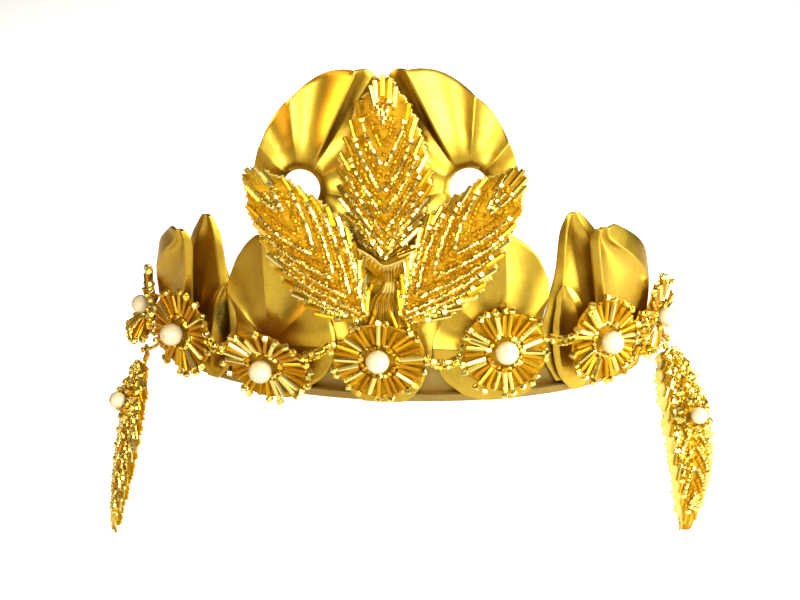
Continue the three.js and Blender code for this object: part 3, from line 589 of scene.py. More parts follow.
PETAL_GRID = {"columns": 22, "flank_columns": 3, "rows": 40, "full_width": 12, "calm_over": 14}
TALL_PETAL = {
    "angle": 48.6, "layer": BACK_LAYER, "stands": 19, "flare": 0, "hollow": 1.3, "flank": 1.6,
    "rows": table(
        "height slant inner inner_ridge outer_ridge outer",
        (3.5, 0, -7, -4.2, 5.6, 8.6),
        (16, 0, -13.4, -6.8, 8.8, 12.4),
        (28, 0, -10.4, -6, 9.6, 14),
        (39, 0, -7.1, -5.2, 8, 13.2),
        (47.5, 0, -5.9, -4.5, 4.6, 9.2),
        (53, 0, -4.6, -3.6, 1.4, 4.4),
        (56.6, 0, -3, -2.4, -0.6, 0.5),
    ),
}
LOW_LEAF_SIDES = {"left": {"angle": 43.6, "hollow": 2.2}, "right": {"angle": 46.5, "hollow": 0.9}}
# The hollow of the left low leaf has painted shade: its colour is darkened in an oval, for the shade in the
# cup.
HOLLOW_SHADE = {"where": -2.7, "height": 22, "wide": 4.4, "tall": 7.8, "most": 0.85, "edge": (0.75, 1.1)}
LOW_LEAF = {
    "layer": FRONT_LAYER + 0.35, "stands": 1, "flare": 0, "flank": 0.7,
    "rows": table(
        "height slant inner inner_ridge outer_ridge outer",
        (1, 0, -0.4, 0.4, 2.4, 4),
        (6, 0, -4.8, -3.4, 3, 5.8),
        (14, 0, -7, -5.4, 2.8, 6.4),
        (22, 0, -7.4, -5.8, 1.4, 4.8),
        (28.5, 0, -6.6, -5.6, -0.4, 2.1),
        (32.4, 0, -6.3, -5.3, -2.4, -0.6),
        (34.8, 0, -5, -4.6, -3.8, -3.2),
    ),
}
OUTER_PETAL = {
    "angle": 68, "layer": FRONT_LAYER, "stands": 4, "flare": 0.07, "hollow": 1.8, "flank": 2.2,
    "rows": table(
        "height slant inner inner_ridge outer_ridge outer",
        (1.2, 0, -7, -5.4, 6, 9),
        (12, 0.16, -11.6, -10, 10.4, 17),
        (22, 0.26, -13.4, -11.8, 11, 18.6),
        (30.5, 0.2, -14.4, -12.9, 7.2, 14.4),
        (38, 0.2, -15.6, -14.2, 0.4, 8.6),
        (44, 0.14, -16.8, -15.4, -6, 2.6),
        (48.6, 0.05, -17.4, -16.1, -12, -3.6),
        (51.7, 0, -16.4, -15.5, -13.2, -9),
    ),
}


def smoothly(rows, column, share):
    """A value between the rows of a table, on a smooth curve through them."""
    place = min(max(share, 0), 1) * (len(rows) - 1)
    i = min(int(place), len(rows) - 2)
    past = place - i
    before, start, end, after = (
        rows[min(max(k, 0), len(rows) - 1)][column] for k in range(i - 1, i + 3)
    )
    bend = 2 * before - 5 * start + 4 * end - after
    curl = 3 * (start - end) + after - before
    return start + 0.5 * past * (end - before + past * (bend + past * curl))


def petal(form, sign):
    """A petal on its side of the brow: a flank, the hollow between the ridges, and a flank."""
    across, flank_columns = PETAL_GRID["columns"], PETAL_GRID["flank_columns"]

    def place(u, v):
        inner, inner_ridge, outer_ridge, outer = (
            smoothly(form["rows"], column, v)
            for column in ("inner", "inner_ridge", "outer_ridge", "outer")
        )
        room = min((outer - inner) / PETAL_GRID["full_width"], 1)
        column = u * across
        if column < flank_columns:
            share = column / flank_columns
            where, depth = lerp(inner, inner_ridge, share), -form["flank"] * room * (1 - share)
        elif column > across - flank_columns:
            share = (column - across + flank_columns) / flank_columns
            where, depth = lerp(outer_ridge, outer, share), -form["flank"] * room * share
        else:
            share = (column - flank_columns) / (across - 2 * flank_columns)
            where = lerp(inner_ridge, outer_ridge, share)
            depth = -form["hollow"] * room * 4 * share * (1 - share)
        height = smoothly(form["rows"], "height", v) + smoothly(form["rows"], "slant", v) * where
        calm = smoothstep(height, form["stands"], form["stands"] + PETAL_GRID["calm_over"])
        out = form["layer"] + form["flare"] * height + depth * calm
        return lean_askew(band_point(sign * walk_rim(form["angle"], where), out, height))

    return patch(across, PETAL_GRID["rows"], place, (flank_columns, across - flank_columns))


def paint_hollow_shade(piece, form, sign):
    """How much painted shade darkens each point of a leaf, most in the oval of its hollow."""
    angle = sign * walk_rim(form["angle"], HOLLOW_SHADE["where"])
    middle = lean_askew(band_point(angle, form["layer"] - form["hollow"], HOLLOW_SHADE["height"]))
    shares = []
    for vertex in piece.data.vertices:
        away = vertex.co / TO_METRES - middle
        reach = math.hypot(away.xy.length / HOLLOW_SHADE["wide"], away.z / HOLLOW_SHADE["tall"])
        shares.append(HOLLOW_SHADE["most"] * (1 - smoothstep(reach, *HOLLOW_SHADE["edge"])))
    piece.data.attributes.new("painted_shade", "FLOAT", "POINT").data.foreach_set("value", shares)


for side, sign in SIDES.items():
    petals = {
        "tall_petal": TALL_PETAL, "low_leaf": {**LOW_LEAF, **LOW_LEAF_SIDES[side]},
        "outer_petal": OUTER_PETAL,
    }
    for name, form in petals.items():
        petal_piece = make_piece(
            f"{name}_sheet_{side}", petal(form, sign), "tiara", gilt, [f"{name}_{side}"],
        )
        # The left low leaf gets painted shade in its hollow.
        if name == "low_leaf" and side == "left":
            paint_hollow_shade(petal_piece, form, sign)
        finish_plate(petal_piece)

# ---- Beaded leaves --------------------------------------------------------------------------
# Gold cloth cut to a leaf over a domed pad, with bugle beads fanned out along its border. Seed beads
# run in rows from there to the middle, bright and dull in turn, and a fat bead ends each bright
# row. All are sewn through the cloth.


def column(name, *values):
    """A table of one column."""
    return [{name: value} for value in values]


LEAF_HALF_WIDTH = column("half", 1.8, 10.6, 13.6, 14.2, 13, 10.6, 7.4, 1.4)
LEAVES = table(
    "name x height lift length turn width tuck",
    ("centre", 0.4, 46, 2.6, 55.5, 1.5, 1.03, (0.8, 0.8)),
    ("left", -4.2, 28.8, 6.9, 57.5, 40.5, 0.92, (1, 0.66)),
    ("right", 6, 29.4, 7.25, 57.5, -38.5, 0.92, (0.66, 1)),
)
TUCKED = (0.15, 0.6)

# Silver-lined glass: pale and bright where the lining shows, deep amber where the glass is bare.
LINING = table(
    "tone colour",
    (0, (0.46, 0.19, 0.001)),
    (0.3, (0.60, 0.29, 0.003)),
    (0.65, (0.82, 0.52, 0.025)),
    (1, (1.0, 0.87, 0.32)),
)
BY_LINING = table(
    "socket bare lined",
    ("Metallic", 0.6, 0.95),
    ("Roughness", 0.3, 0.18),
)
beads_glass, add = new_finish(
    "lined_glass", Coat_Weight=0.12, Coat_Roughness=0.05, Specular_IOR_Level=0.2,
)
tone = add("Attribute", output="Fac", attribute_name="tone")
stops = add("ValToRGB", "Base Color", Fac=tone).node.color_ramp.elements
stops[0].color = (*LINING[0]["colour"], 1)
stops[1].color = (*LINING[-1]["colour"], 1)
for row in LINING[1:-1]:
    stops.new(row["tone"]).color = (*row["colour"], 1)
for row in BY_LINING:
    add(
        "MapRange", row["socket"], Value=tone, From_Min=0.2, From_Max=0.7,
        To_Min=row["bare"], To_Max=row["lined"],
    )

# Gold cloth: a fine weave with a silky sheen, amber within, paler where its hem frays and where the knot's
# cloth has painted highlights.
cloth, add = new_finish("gold_cloth", Metallic=0.5, Roughness=0.42, Specular_IOR_Level=0.15)
within = blend_colours(add, speckle(add, 300, 4), (0.37, 0.165, 0.001), (0.56, 0.30, 0.005))
hem_and_highlight = add("Attribute", output="Fac", attribute_name="hem_and_highlight")
frayed_and_highlit = add("MapRange", interpolation_type="SMOOTHSTEP", Value=hem_and_highlight, From_Min=0.9, From_Max=0.99)
mixed(add, frayed_and_highlit, within, (0.82, 0.62, 0.16, 1), "Base Color")
add("MapRange", "Metallic", Value=frayed_and_highlit, To_Min=0.5, To_Max=0.12)
place = add("TexCoord", output="Object")
warp, weft = (
    add("TexWave", None, "Fac", bands_direction=way, Vector=place, Scale=1300.0, Distortion=1.2)
    for way in ("X", "Y")
)
weave = add("Math", numbered=((0, warp), (1, weft)), operation="MULTIPLY")
puckered = add("Bump", Strength=0.8, Distance=0.0006, Height=speckle(add, 620, 2))
add("Bump", "Normal", Strength=0.5, Distance=0.0001, Height=weave, Normal=puckered)

FACES_END = 0.9
GLASS_EDGE = 0.24
BEAD_HOLE = {"lip": 0.3, "edge": 0.04, "depth": 0.5}


def glass_bead(radius, length, sides, hole=True):
    """A tube of glass with its edges eased and, where they are seen, a hole sunk in each end."""
    shape = bmesh.new()
    round_size = {"segments": sides, "radius1": radius, "radius2": radius, "depth": length}
    bmesh.ops.create_cone(shape, cap_ends=True, **round_size)
    ends = [face for face in shape.faces if abs(face.normal.z) > FACES_END]
    rims = {edge for face in ends for edge in face.edges}
    bmesh.ops.bevel(
        shape, geom=list(rims), offset=GLASS_EDGE * radius, segments=1, profile=0.5, affect="EDGES",
        material=-1,
    )
    if hole:
        ends = [face for face in shape.faces if abs(face.normal.z) > FACES_END]
        bmesh.ops.inset_individual(shape, faces=ends, thickness=BEAD_HOLE["lip"] * radius)
        edge, depth = BEAD_HOLE["edge"] * radius, -BEAD_HOLE["depth"] * radius
        bmesh.ops.inset_individual(shape, faces=ends, thickness=edge, depth=depth)
    shape.verts.index_update()
    kind = {
        "points": [vert.co.copy() for vert in shape.verts],
        "faces": [[vert.index for vert in face.verts] for face in shape.faces],
        "length": length,
    }
    shape.free()
    return kind


BUGLE = glass_bead(radius=0.8, length=6.5, sides=8)
SEED = glass_bead(radius=0.68, length=1.22, sides=7, hole=False)
KNOB = glass_bead(radius=1.15, length=1.9, sides=8)


def laid(kind, lay, start, end, tone, thick, turn=0.0):
    """A bead between two points of a flat pattern, which lay() takes to their place."""
    first, last = lay(start), lay(end)
    axis = last - first
    stretch = axis.length / kind["length"]
    axis.normalize()
    up = lay(start + UP) - first
    side = up.cross(axis).normalized()
    matrix = Matrix((side * thick, axis.cross(side) * thick, axis * stretch)).transposed().to_4x4()
    matrix.translation = (first + last) / 2
    return kind, matrix @ Matrix.Rotation(turn, 4, "Z"), tone


def bead_piece(name, beads, body, replaced):
    """One piece of many beads, each with its own tone of glass."""
    points, faces, tones = [], [], []
    for kind, matrix, tone in beads:
        first = len(points)
        points += [matrix @ point * TO_METRES for point in kind["points"]]
        faces += [[first + i for i in face] for face in kind["faces"]]
        tones += [tone] * len(kind["faces"])
    mesh = bpy.data.meshes.new(name)
    mesh.from_pydata(points, [], faces)
    mesh.attributes.new("tone", "FLOAT", "FACE").data.foreach_set("value", tones)
    return add_piece(name, mesh, body, beads_glass, replaced)


# How beads sit on their thread, and how far they stray and differ.
THREADED = {"pitch": 1.08, "ends": (0.05, 0.95), "stray": 0.07, "tone": 0.06, "fat": (0.9, 1.1)}
LOOSE = {"out": 0.6, "half": 0.46}


def astray(chance, most):
    """A stray to either side."""
    return chance.uniform(-most, most)


def bead_row(points, lay, kind, tone, chance, thick=1.0):
    """Beads threaded along one flat curve, each one little out of line and of its own tone."""
    lengths = [(other - one).length for one, other in zip(points, points[1:])]
    count = max(1, round(sum(lengths) / (kind["length"] * THREADED["pitch"])))
    step = sum(lengths) / count
    beads = []
    i, passed = 0, 0.0
    for k in range(count):
        ends = []
        for distance in ((k + end) * step for end in THREADED["ends"]):
            while i < len(lengths) - 1 and passed + lengths[i] < distance:
                passed += lengths[i]
                i += 1
            share = (distance - passed) / lengths[i]
            ends.append(points[i].lerp(points[i + 1], share))
        jitter, twist = (Vector([astray(chance, THREADED["stray"]) for _ in range(3)]) for _ in range(2))
        shade = min(max(tone + chance.gauss(0, THREADED["tone"]), 0), 1)
        fat = thick * chance.uniform(*THREADED["fat"])
        start, end = ends[0] + jitter - twist, ends[1] + jitter + twist
        beads.append(laid(kind, lay, start, end, shade, fat, chance.uniform(0, 1)))
    return beads


def loose_bead(middle, lay, chance, kind, tone, thick):
    """A bead that its thread holds askew."""
    lean = Vector((astray(chance, 1), astray(chance, 1), astray(chance, LOOSE["out"])))
    lean = lean.normalized() * kind["length"] * LOOSE["half"]
    return laid(kind, lay, middle - lean, middle + lean, tone, thick, chance.uniform(0, 1))


# The beads take up the top of a leaf's thickness, and the pad below them thins at its edge. The
# cloth's border falls back towards the foot and rises at the hem, which frays by waves of noise.
LEAF_PAD = {"beads": 0.7, "thins": 0.45, "edge": 6, "falls": 0.1, "rises": 1.2}
LEAF_CLOTH = {"thickness": 0.4, "grid": (28, 110)}
HEM_FROM = 0.95
FRAYS = table(
    "pace seed size",
    (0.55, 3.1, 1.6),
    (1.9, 7.3, 1.5),
)
# A row of seed beads ends beside the middle line. A row shorter than the shortest is left out.
SEED_ROW = {"off_middle": 0.6, "lowest": 0.5, "shortest": 2, "pull": 0.4, "steps": 8, "last": 0.965}
BRIGHT_ROW = {"tone": 0.94, "lift": 0.95}
DULL_ROW_LIFT = 0.3
FAT_END = {"from": 0.5, "long": 1.5, "lift": 1.2, "thick": 0.85, "turn": 0.3}
# How the bugles along the border lie, how far they stray, and their tones.
BUGLE_LIES = {"rest": 0.9, "inner": 0.1, "outer": -0.7, "edge": 0.55, "over_edge": 1.0}
BUGLE_STRAYS = {"share": 0.006, "swing": 5, "out": 0.6, "up": 0.35, "fat": (0.94, 1.06), "row_swing": 2}
BORDER_TONES = (0.35, 0.55, 0.7, 0.8, 0.92)
TIP_BUGLES = table(
    "across down thick",
    (0, 0, 1),
    (-2.4, 1.6, 0.95),
    (2.3, 1.2, 0.95),
)
TIP_LIES = {"lift": 1.1, "rise": -0.3, "splay": 0.12}
LEAF_RIB = {"places": (0.76, 0.81, 0.87), "tone": 0.9, "lift": 0.7}
LEAF_FILLING = {"along": (0.12, 0.9), "across": 0.75, "lift": 0.2, "tone": (0, 0.45)}


def beaded_leaf(name, body, lay, half_at, length, form, chance, replaced):
    """The cloth and the beads of one leaf, which lies flat with its tip along +Y before lay()."""
    thickness, dome = form["thickness"] - LEAF_PAD["beads"], form["dome"]
    bugle = BUGLE["length"] * form["bugle_long"]
    beads = []

    def surface(half, x):
        """How high the domed pad stands under a point of the leaf."""
        across = min(abs(x) / max(half, 0.1), 1)
        thins = 1 - LEAF_PAD["thins"] * across ** LEAF_PAD["edge"]
        return thickness * thins + dome * (1 - across * across)

    def on_cloth(u, v):
        across = 2 * u - 1
        side = -1 if across < 0 else 1
        half = half_at(v, side)
        edge = abs(across) ** LEAF_PAD["edge"]
        fray = sum(
            noise.noise(Vector((v * length * wave["pace"], side * wave["seed"], 0))) * wave["size"]
            for wave in FRAYS
        )
        x = across * (half + form["border"] + fray * edge)
        y = length * v * (1 - LEAF_PAD["falls"] * abs(across) * (1 - v)) + edge * LEAF_PAD["rises"]
        return lay(Vector((x, y, surface(half + 0.6, x))))

    def nearness_to_hem(u, v):
        return abs(2 * u - 1) * HEM_FROM / form["pale_from"]

    leaf_cut = patch(*LEAF_CLOTH["grid"], on_cloth, hem_and_highlight=nearness_to_hem)
    cloth_piece = make_piece(f"{name}_cloth", leaf_cut, body, cloth, replaced)
    thicken(cloth_piece, LEAF_CLOTH["thickness"])

    def sewn_row(start, way, side, share, tone, lift):
        """A row of seed beads from near the border down to the middle of the leaf."""
        meets = math.radians(smoothly(form["veins"], "angle", share))
        drop = abs(start.x) / math.tan(meets)
        middle = Vector((SEED_ROW["off_middle"] * side, start.y - drop, 0))
        if middle.y < SEED_ROW["lowest"]:
            kept = (start.y - SEED_ROW["lowest"]) / max(drop, 0.01)
            middle = Vector((start.x * (1 - min(max(kept, 0), 1)), SEED_ROW["lowest"], 0))
        if (middle - start).length < SEED_ROW["shortest"]:
            return []
        pull = start - way * (middle - start).length * SEED_ROW["pull"]
        curve = curve_through(start.xy, pull.xy, middle.xy, SEED_ROW["steps"])
        flat = [start.copy()] + [point.to_3d() for point in curve]
        for point in flat:
            half = half_at(min(max(point.y / length, 0), 1), side)
            point.z = surface(half, point.x) + lift
        return bead_row(flat, lay, SEED, tone, chance, form["seed_thick"])

    def leaves_border(share, side, stray):
        """Where a bugle's outer end lies at the border, and the way that it points."""
        swing = math.radians(smoothly(form["fan"], "swing", share) + stray)
        way = Vector((side * math.sin(swing), math.cos(swing), 0))
        y = length * share * (1 - LEAF_PAD["falls"] * (1 - share))
        return Vector((side * half_at(share, side), y, 0)) + way * form["poke"], way

    for side in (-1, 1):
        for i in range(form["bugles"]):
            share = lerp(form["first"], form["last"], i / (form["bugles"] - 1))
            strayed = share + astray(chance, BUGLE_STRAYS["share"])
            outer, way = leaves_border(strayed, side, astray(chance, BUGLE_STRAYS["swing"]))
            outer += way * astray(chance, BUGLE_STRAYS["out"])
            inner = outer - way * bugle
            rest = surface(half_at(share, side), inner.x) + BUGLE_LIES["rest"]
            inner.z = rest + BUGLE_LIES["inner"]
            lowest = thickness * BUGLE_LIES["edge"] + BUGLE_LIES["over_edge"]
            outer.z = max(lowest, rest + BUGLE_LIES["outer"]) + chance.uniform(0, BUGLE_STRAYS["up"])
            pale = chance.choice(BORDER_TONES)
            fat = form["bugle_thick"] * chance.uniform(*BUGLE_STRAYS["fat"])
            beads.append(laid(BUGLE, lay, inner, outer, pale, fat, chance.uniform(0, 0.8)))
        for i in range(form["rows"]):
            share = lerp(form["first"] + 0.06, SEED_ROW["last"], i / (form["rows"] - 1))
            outer, way = leaves_border(share, side, astray(chance, BUGLE_STRAYS["row_swing"]))
            start = outer - way * (bugle + chance.uniform(0.2, 1))
            if i % 2:
                tone = chance.uniform(*form["amber"])
                beads += sewn_row(start, way, side, share, tone, DULL_ROW_LIFT)
            else:
                beads += sewn_row(start, way, side, share, BRIGHT_ROW["tone"], BRIGHT_ROW["lift"])
                first = start + way * FAT_END["from"]
                first.z = surface(half_at(share, side), first.x) + FAT_END["lift"]
                last, thick = first + way * FAT_END["long"], FAT_END["thick"] * form["seed_thick"]
                beads.append(laid(KNOB, lay, first, last, 1.0, thick, FAT_END["turn"]))
    for end in TIP_BUGLES:
        y = length + form["poke"] - end["down"]
        tip = Vector((end["across"], y, thickness + TIP_LIES["lift"]))
        root = tip - Vector((TIP_LIES["splay"] * end["across"], bugle, TIP_LIES["rise"]))
        tone = chance.uniform(0.6, 1)
        beads.append(laid(BUGLE, lay, root, tip, tone, form["bugle_thick"] * end["thick"]))
    for _ in range(form["filling"]):
        share, across = chance.uniform(*LEAF_FILLING["along"]), astray(chance, LEAF_FILLING["across"])
        x = across * half_at(share, math.copysign(1, across))
        spot = Vector((x, length * share, surface(half_at(share, 1), x) + LEAF_FILLING["lift"]))
        tone = chance.uniform(*LEAF_FILLING["tone"])
        beads.append(loose_bead(spot, lay, chance, SEED, tone, form["seed_thick"]))
    rib = [Vector((0, length * place, thickness + dome + LEAF_RIB["lift"])) for place in LEAF_RIB["places"]]
    beads += bead_row(rib, lay, SEED, LEAF_RIB["tone"], chance, form["seed_thick"])
    bead_piece(f"{name}_beads", beads, body, replaced)
    return cloth_piece


# How far the border bugles swing out from the leaf's middle line, from its base to its tip.
FAN = {
    "centre": column("swing", 58, 52, 44, 38, 29, 21, 14, 8),
    "side": column("swing", 56, 47, 35, 26, 17, 10, 5, 2),
}
# The angle between the middle line and a row where they meet, from the base to the tip.
VEINS = {
    "centre": column("angle", 42, 41, 39, 37, 34, 31, 27, 20),
    "side": column("angle", 38, 33, 29, 26, 24, 22, 20, 15),
}
LEAF_FORM = {
    "thickness": 1.6, "dome": 1.4, "poke": 1.5, "bugles": 11, "first": 0.1, "last": 0.94, "border": 0.3,
    "bugle_thick": 1.06, "bugle_long": 1.0, "seed_thick": 1.0, "rows": 17, "amber": (0.05, 0.3),
    "filling": 150, "pale_from": 0.95,
}


def on_crest_plane(x, height, lift, turn):
    """The frame of a piece laid on the crest plate."""
    seat = Matrix(((1, 0, 0), (0, 0, -1), (0, 1, 0))).to_4x4()
    seat.translation = band_point(0, FRONT_LAYER + CREST_STANDS_OUT, 0)
    seat = seat @ Matrix.Rotation(-CREST_LEAN, 4, "X") @ Matrix.Translation((x, height, lift))
    return seat @ Matrix.Rotation(math.radians(turn), 4, "Z")


for number, leaf in enumerate(LEAVES):
    seat = on_crest_plane(leaf["x"], leaf["height"], leaf["lift"], leaf["turn"])

    def half_at(share, side):
        narrow = lerp(leaf["tuck"][side > 0], 1, smoothstep(share, *TUCKED))
        return smoothly(LEAF_HALF_WIDTH, "half", share) * leaf["width"] * narrow

    kind = "centre" if leaf["name"] == "centre" else "side"
    form = {**LEAF_FORM, "fan": FAN[kind], "veins": VEINS[kind]}
    leaf_cloth = beaded_leaf(
        f"leaf_{leaf['name']}", "tiara", lambda point: seat @ point, half_at, leaf["length"], form,
        random.Random(20 + number), [f"beaded_leaf_{leaf['name']}"],
    )

# ---- Knot -----------------------------------------------------------------------------------
# A scrap of the same cloth, gathered by a thread over the place where the three leaves meet. A
# folded collar of it stands above, a backing lies below, and loose beads are sewn about them.

KNOT = {"x": 1.2, "height": 33.4, "lift": 0.7, "folds": 6, "strands": 19, "collar_folds": 13}
KNOT_CLOTH = 0.3
KNOT_SKIRT = table(
    "y left right high",
    (9.6, -1.6, 3.4, 5.8),
    (6.6, -1.2, 3.6, 6.6),
    (4, -2, 3.6, 6),
    (1.2, -5, 4.2, 6),
    (-1.8, -6.8, 5.4, 5.8),
    (-4.8, -7.8, 6.2, 5),
    (-8, -7.4, 6, 3.2),
)
KNOT_COLLAR = table(
    "x top foot high",
    (-8.6, 16.8, 12.2, 8),
    (-4.8, 14.8, 9.6, 7.8),
    (-0.7, 11.8, 6.8, 7.4),
    (3.2, 12.8, 7.6, 7.6),
    (7, 14.4, 9.8, 7.8),
)
knot_seat = on_crest_plane(KNOT["x"], KNOT["height"], KNOT["lift"], 0)


def on_knot(point):
    return knot_seat @ point


def wander(u, v):
    """How far the folds and the strands wander from straight."""
    return noise.noise(Vector((u * 1.5, v * 2.6, 5)))


def weave_strand(u, v):
    """The ridges of the loosened weave's strands, from -1 to 1."""
    return math.cos(math.tau * (KNOT["strands"] * u + 1.6 * wander(u, v)))


def tied(u, v):
    """The turn of cloth that binds the neck, as a share of its full height."""
    across = smoothstep(u, 0.18, 0.3) * smoothstep(1 - u, 0.1, 0.2)
    return across * smoothstep(v, 0.16, 0.2) * smoothstep(0.4 - v, 0, 0.04)


def skirt_highlights_and_mottle(u, v):
    """Painted highlights: the strands are painted pale on their ridges, and so is the raised turn of cloth
    that binds them. The mottle is a random tone.
    """
    ridge = 0.5 + 0.5 * weave_strand(u, v)
    mottle = 0.03 * noise.noise(Vector((u * 9, v * 5, 1)))
    return 0.868 + 0.065 * ridge ** 2 + 0.07 * tied(u, v) + mottle


def on_knot_skirt(u, v):
    """Pleats that hang from the thread, with the strands of the loosened weave running down them."""
    y, left, right, high = (smoothly(KNOT_SKIRT, key, v) for key in ("y", "left", "right", "high"))
    pleat = math.cos(math.tau * (KNOT["folds"] * u + 0.9 * wander(u, v)))
    drawn = 1 - 0.75 * math.exp(-((v - 0.2) / 0.1) ** 2)
    rolled = 0.7 * high * abs(2 * u - 1) ** 3
    depth = high + 1.7 - rolled + (0.75 * pleat + 0.25 * weave_strand(u, v)) * drawn
    depth += 0.9 * tied(u, v)
    x = lerp(left, right, u) + 0.5 * wander(u, v)
    return on_knot(Vector((x, y + 0.5 * abs(pleat) * v, depth)))


def collar_fold(u, v):
    """The collar's fine folds, from -1 to 1, which slant a little."""
    return math.cos(math.tau * (KNOT["collar_folds"] * u + 1.4 * v))


# The rolled top is a pale frayed hem, and painted highlight carries the paleness on down the collar, with
# paler stripes along the crests of its folds.
def collar_hem_and_highlights(u, v):
    return 1.06 - 0.34 * v + 0.04 * collar_fold(u, v)


def on_knot_collar(u, v):
    x, top, foot, high = (smoothly(KNOT_COLLAR, key, u) for key in ("x", "top", "foot", "high"))
    rolled = math.exp(-((v / 0.2) ** 2))
    pleat = 0.3 * collar_fold(u, v) * (1 - rolled)
    sunk = 1.6 * math.sin(math.pi * v) * (1 - abs(2 * u - 1) ** 2)
    x += 0.8 * v * (1 - 2 * u)
    return on_knot(Vector((x, lerp(top, foot, v), high + 1.3 * rolled + pleat - sunk)))


def on_knot_backing(u, v):
    across = 2 * u - 1
    crumple = noise.noise(Vector((u * 4, v * 5, 2)))
    x = 0.3 + across * lerp(11.5, 8.8, v) * (1 - 0.12 * math.sin(5 * v))
    stands = lerp(1.2, 3.4, smoothstep(v, 0.1, 0.45))
    return on_knot(Vector((x, lerp(17.5, -10, v), stands + 0.5 * crumple)))


KNOT_CLOTHS = table(
    "name grid lay paleness flat held area",
    ("skirt", (190, 44), on_knot_skirt, skirt_highlights_and_mottle, (0.021, 0.020), "gathered", None),
    ("collar", (120, 20), on_knot_collar, collar_hem_and_highlights, (0.018, 0.010), "gathered", 0.0001),
    ("backing", (48, 48), on_knot_backing, None, (0.021, 0.028), "stretched", None),
)
# The skirt and the collar carry painted highlights in their paleness.
for scrap in KNOT_CLOTHS:
    scrap_cut = patch(*scrap["grid"], scrap["lay"], hem_and_highlight=scrap["paleness"])
    scrap_piece = make_piece(f"knot_{scrap['name']}", scrap_cut, "tiara", cloth, ["leaf_knot"])
    thicken(scrap_piece, KNOT_CLOTH)

KNOT_BUGLES = table(
    "start end high tone",
    ((-6.2, 15.2), (-7, 10.4), 9.6, 0.85),
    ((-6.4, 10.4), (-7.5, 4.4), 8.6, 0.35),
    ((-3.8, 5.8), (-6.2, 0), 7.6, 0.45),
    ((5.7, 13.2), (6.6, 7), 9.2, 0.85),
    ((3.6, 6.8), (5.9, 1.2), 7.6, 0.5),
    ((3.9, 14.8), (9.6, 17.2), 9.4, 0.75),
    ((-6.6, -2.4), (-8, -8), 6, 0.8),
    ((5.6, -2), (7.2, -7.4), 6, 0.6),
    ((1.6, -2.6), (3.8, -7.6), 7.6, 0.3),
    ((-2.6, -2), (-4.4, -7.2), 7.6, 0.4),
)
KNOT_LOOSE = {"beads": 44, "across": (-8, 7.5), "up": (-9.5, 9), "high": 4.6, "tone": (0.1, 1)}
knot_chance = random.Random(7)
knot_beads = []
for row in KNOT_BUGLES:
    start, end = (
        Vector((*row[key], row["high"] + astray(knot_chance, 0.2))) for key in ("start", "end")
    )
    knot_beads.append(laid(BUGLE, on_knot, start, end, row["tone"], 0.95))
for k in range(KNOT_LOOSE["beads"]):
    x, y = knot_chance.uniform(*KNOT_LOOSE["across"]), knot_chance.uniform(*KNOT_LOOSE["up"])
    middle = Vector((x, y, KNOT_LOOSE["high"]))
    # A bead that would lie under the skirt's middle goes out to its side.
    if -4.6 < middle.x < 4 and middle.y > -6:
        middle.x = math.copysign(abs(middle.x) * 0.3 + 4.8, middle.x)
    kind = KNOB if k % 5 == 0 and middle.y < 0 else SEED
    tone = knot_chance.uniform(*KNOT_LOOSE["tone"])
    knot_beads.append(loose_bead(middle, on_knot, knot_chance, kind, tone, 1.0))
bead_piece("knot_beads", knot_beads, "tiara", ["leaf_knot"])

# ---- Flowers --------------------------------------------------------------------------------
# Seven round scraps of gold cloth along the rim. Bugle beads lie on each like spokes, with seed
# beads at both their ends, and a pearl is sewn over the middle.

PEARL_RADIUS = 3.7
END_PEARL = 3.1
FLOWER_RADIUS = 13.6
FLOWER = {"cloth": 1, "bugles": 28, "seed_ring": 5, "pearl_seat": 1.4}
FLOWER_DISC = {"grid": (96, 14), "inside": 0.7, "thickness": 0.35}
FLOWER_SPOKE = {"rest": 1.75, "from_ring": 0.8, "from_rim": 1.2, "knob": 1.1}
PALE_SPOKE = {"share": 0.3, "tone": (0.85, 1), "over": 0.45, "fat": (0.98, 1.12)}
DULL_SPOKE = {"tones": (0, 0.1, 0.2, 0.35, 0.5), "fat": (0.92, 1.04)}
FLOWER_SEEDS = {"pitch": 1.6, "fewest": 8, "rest": 2.0, "tone": (0.4, 1)}
PEARL = {"uneven": 0.012, "dimple": 0.1, "dimple_from": 0.975}
GAP = 0.35
FOLD_BELOW = 3
FLOWERS = table(
    "name angle height out tilt turn wide tall fold twist pearl_up",
    ("end_left", -85, 14.2, 4.6, 2, 10, 1, 0.94, 0.45, 0.22, 0),
    ("side_left", -53.6, 15, 4.6, 2, 0, 1.1, 1, 0, 0, 0),
    ("front_left", -26.4, 12.6, 5.2, -27, 0, 1.15, 0.94, 0.4, 0, 0),
    ("front", -0.4, 16, 4.1, -4, 0, 1.12, 0.95, 0, 0, 1.3),
    ("front_right", 26.8, 18.4, 4.5, 0, 0, 1.03, 1.02, 0, 0, 1),
    ("side_right", 54, 17.8, 4.7, 0, 0, 0.96, 1.04, 0, 0, 0),
    ("end_right", 85.6, 16.6, 4.7, -4, -12, 1, 0.96, 0, 0, 0),
)

# Cream pearl: a soft glow under a clear skin, faintly uneven, with painted shade at its rim.
pearl_skin, add = new_finish("cream_pearl", Roughness=0.22, Coat_Weight=0.8, Coat_Roughness=0.08)
nacre = blend_colours(add, speckle(add, 260, 4), (0.76, 0.68, 0.47), (0.95, 0.89, 0.71))
# Painted shade: the colour goes over to brown where the surface turns away from the eye.
painted_rim_shade = add("LayerWeight", output="Facing", Blend=0.3)
mixed(add, painted_rim_shade, nacre, (0.42, 0.27, 0.1, 1), "Base Color")
add("Bump", "Normal", Strength=0.08, Distance=0.0001, Height=speckle(add, 500, 2))


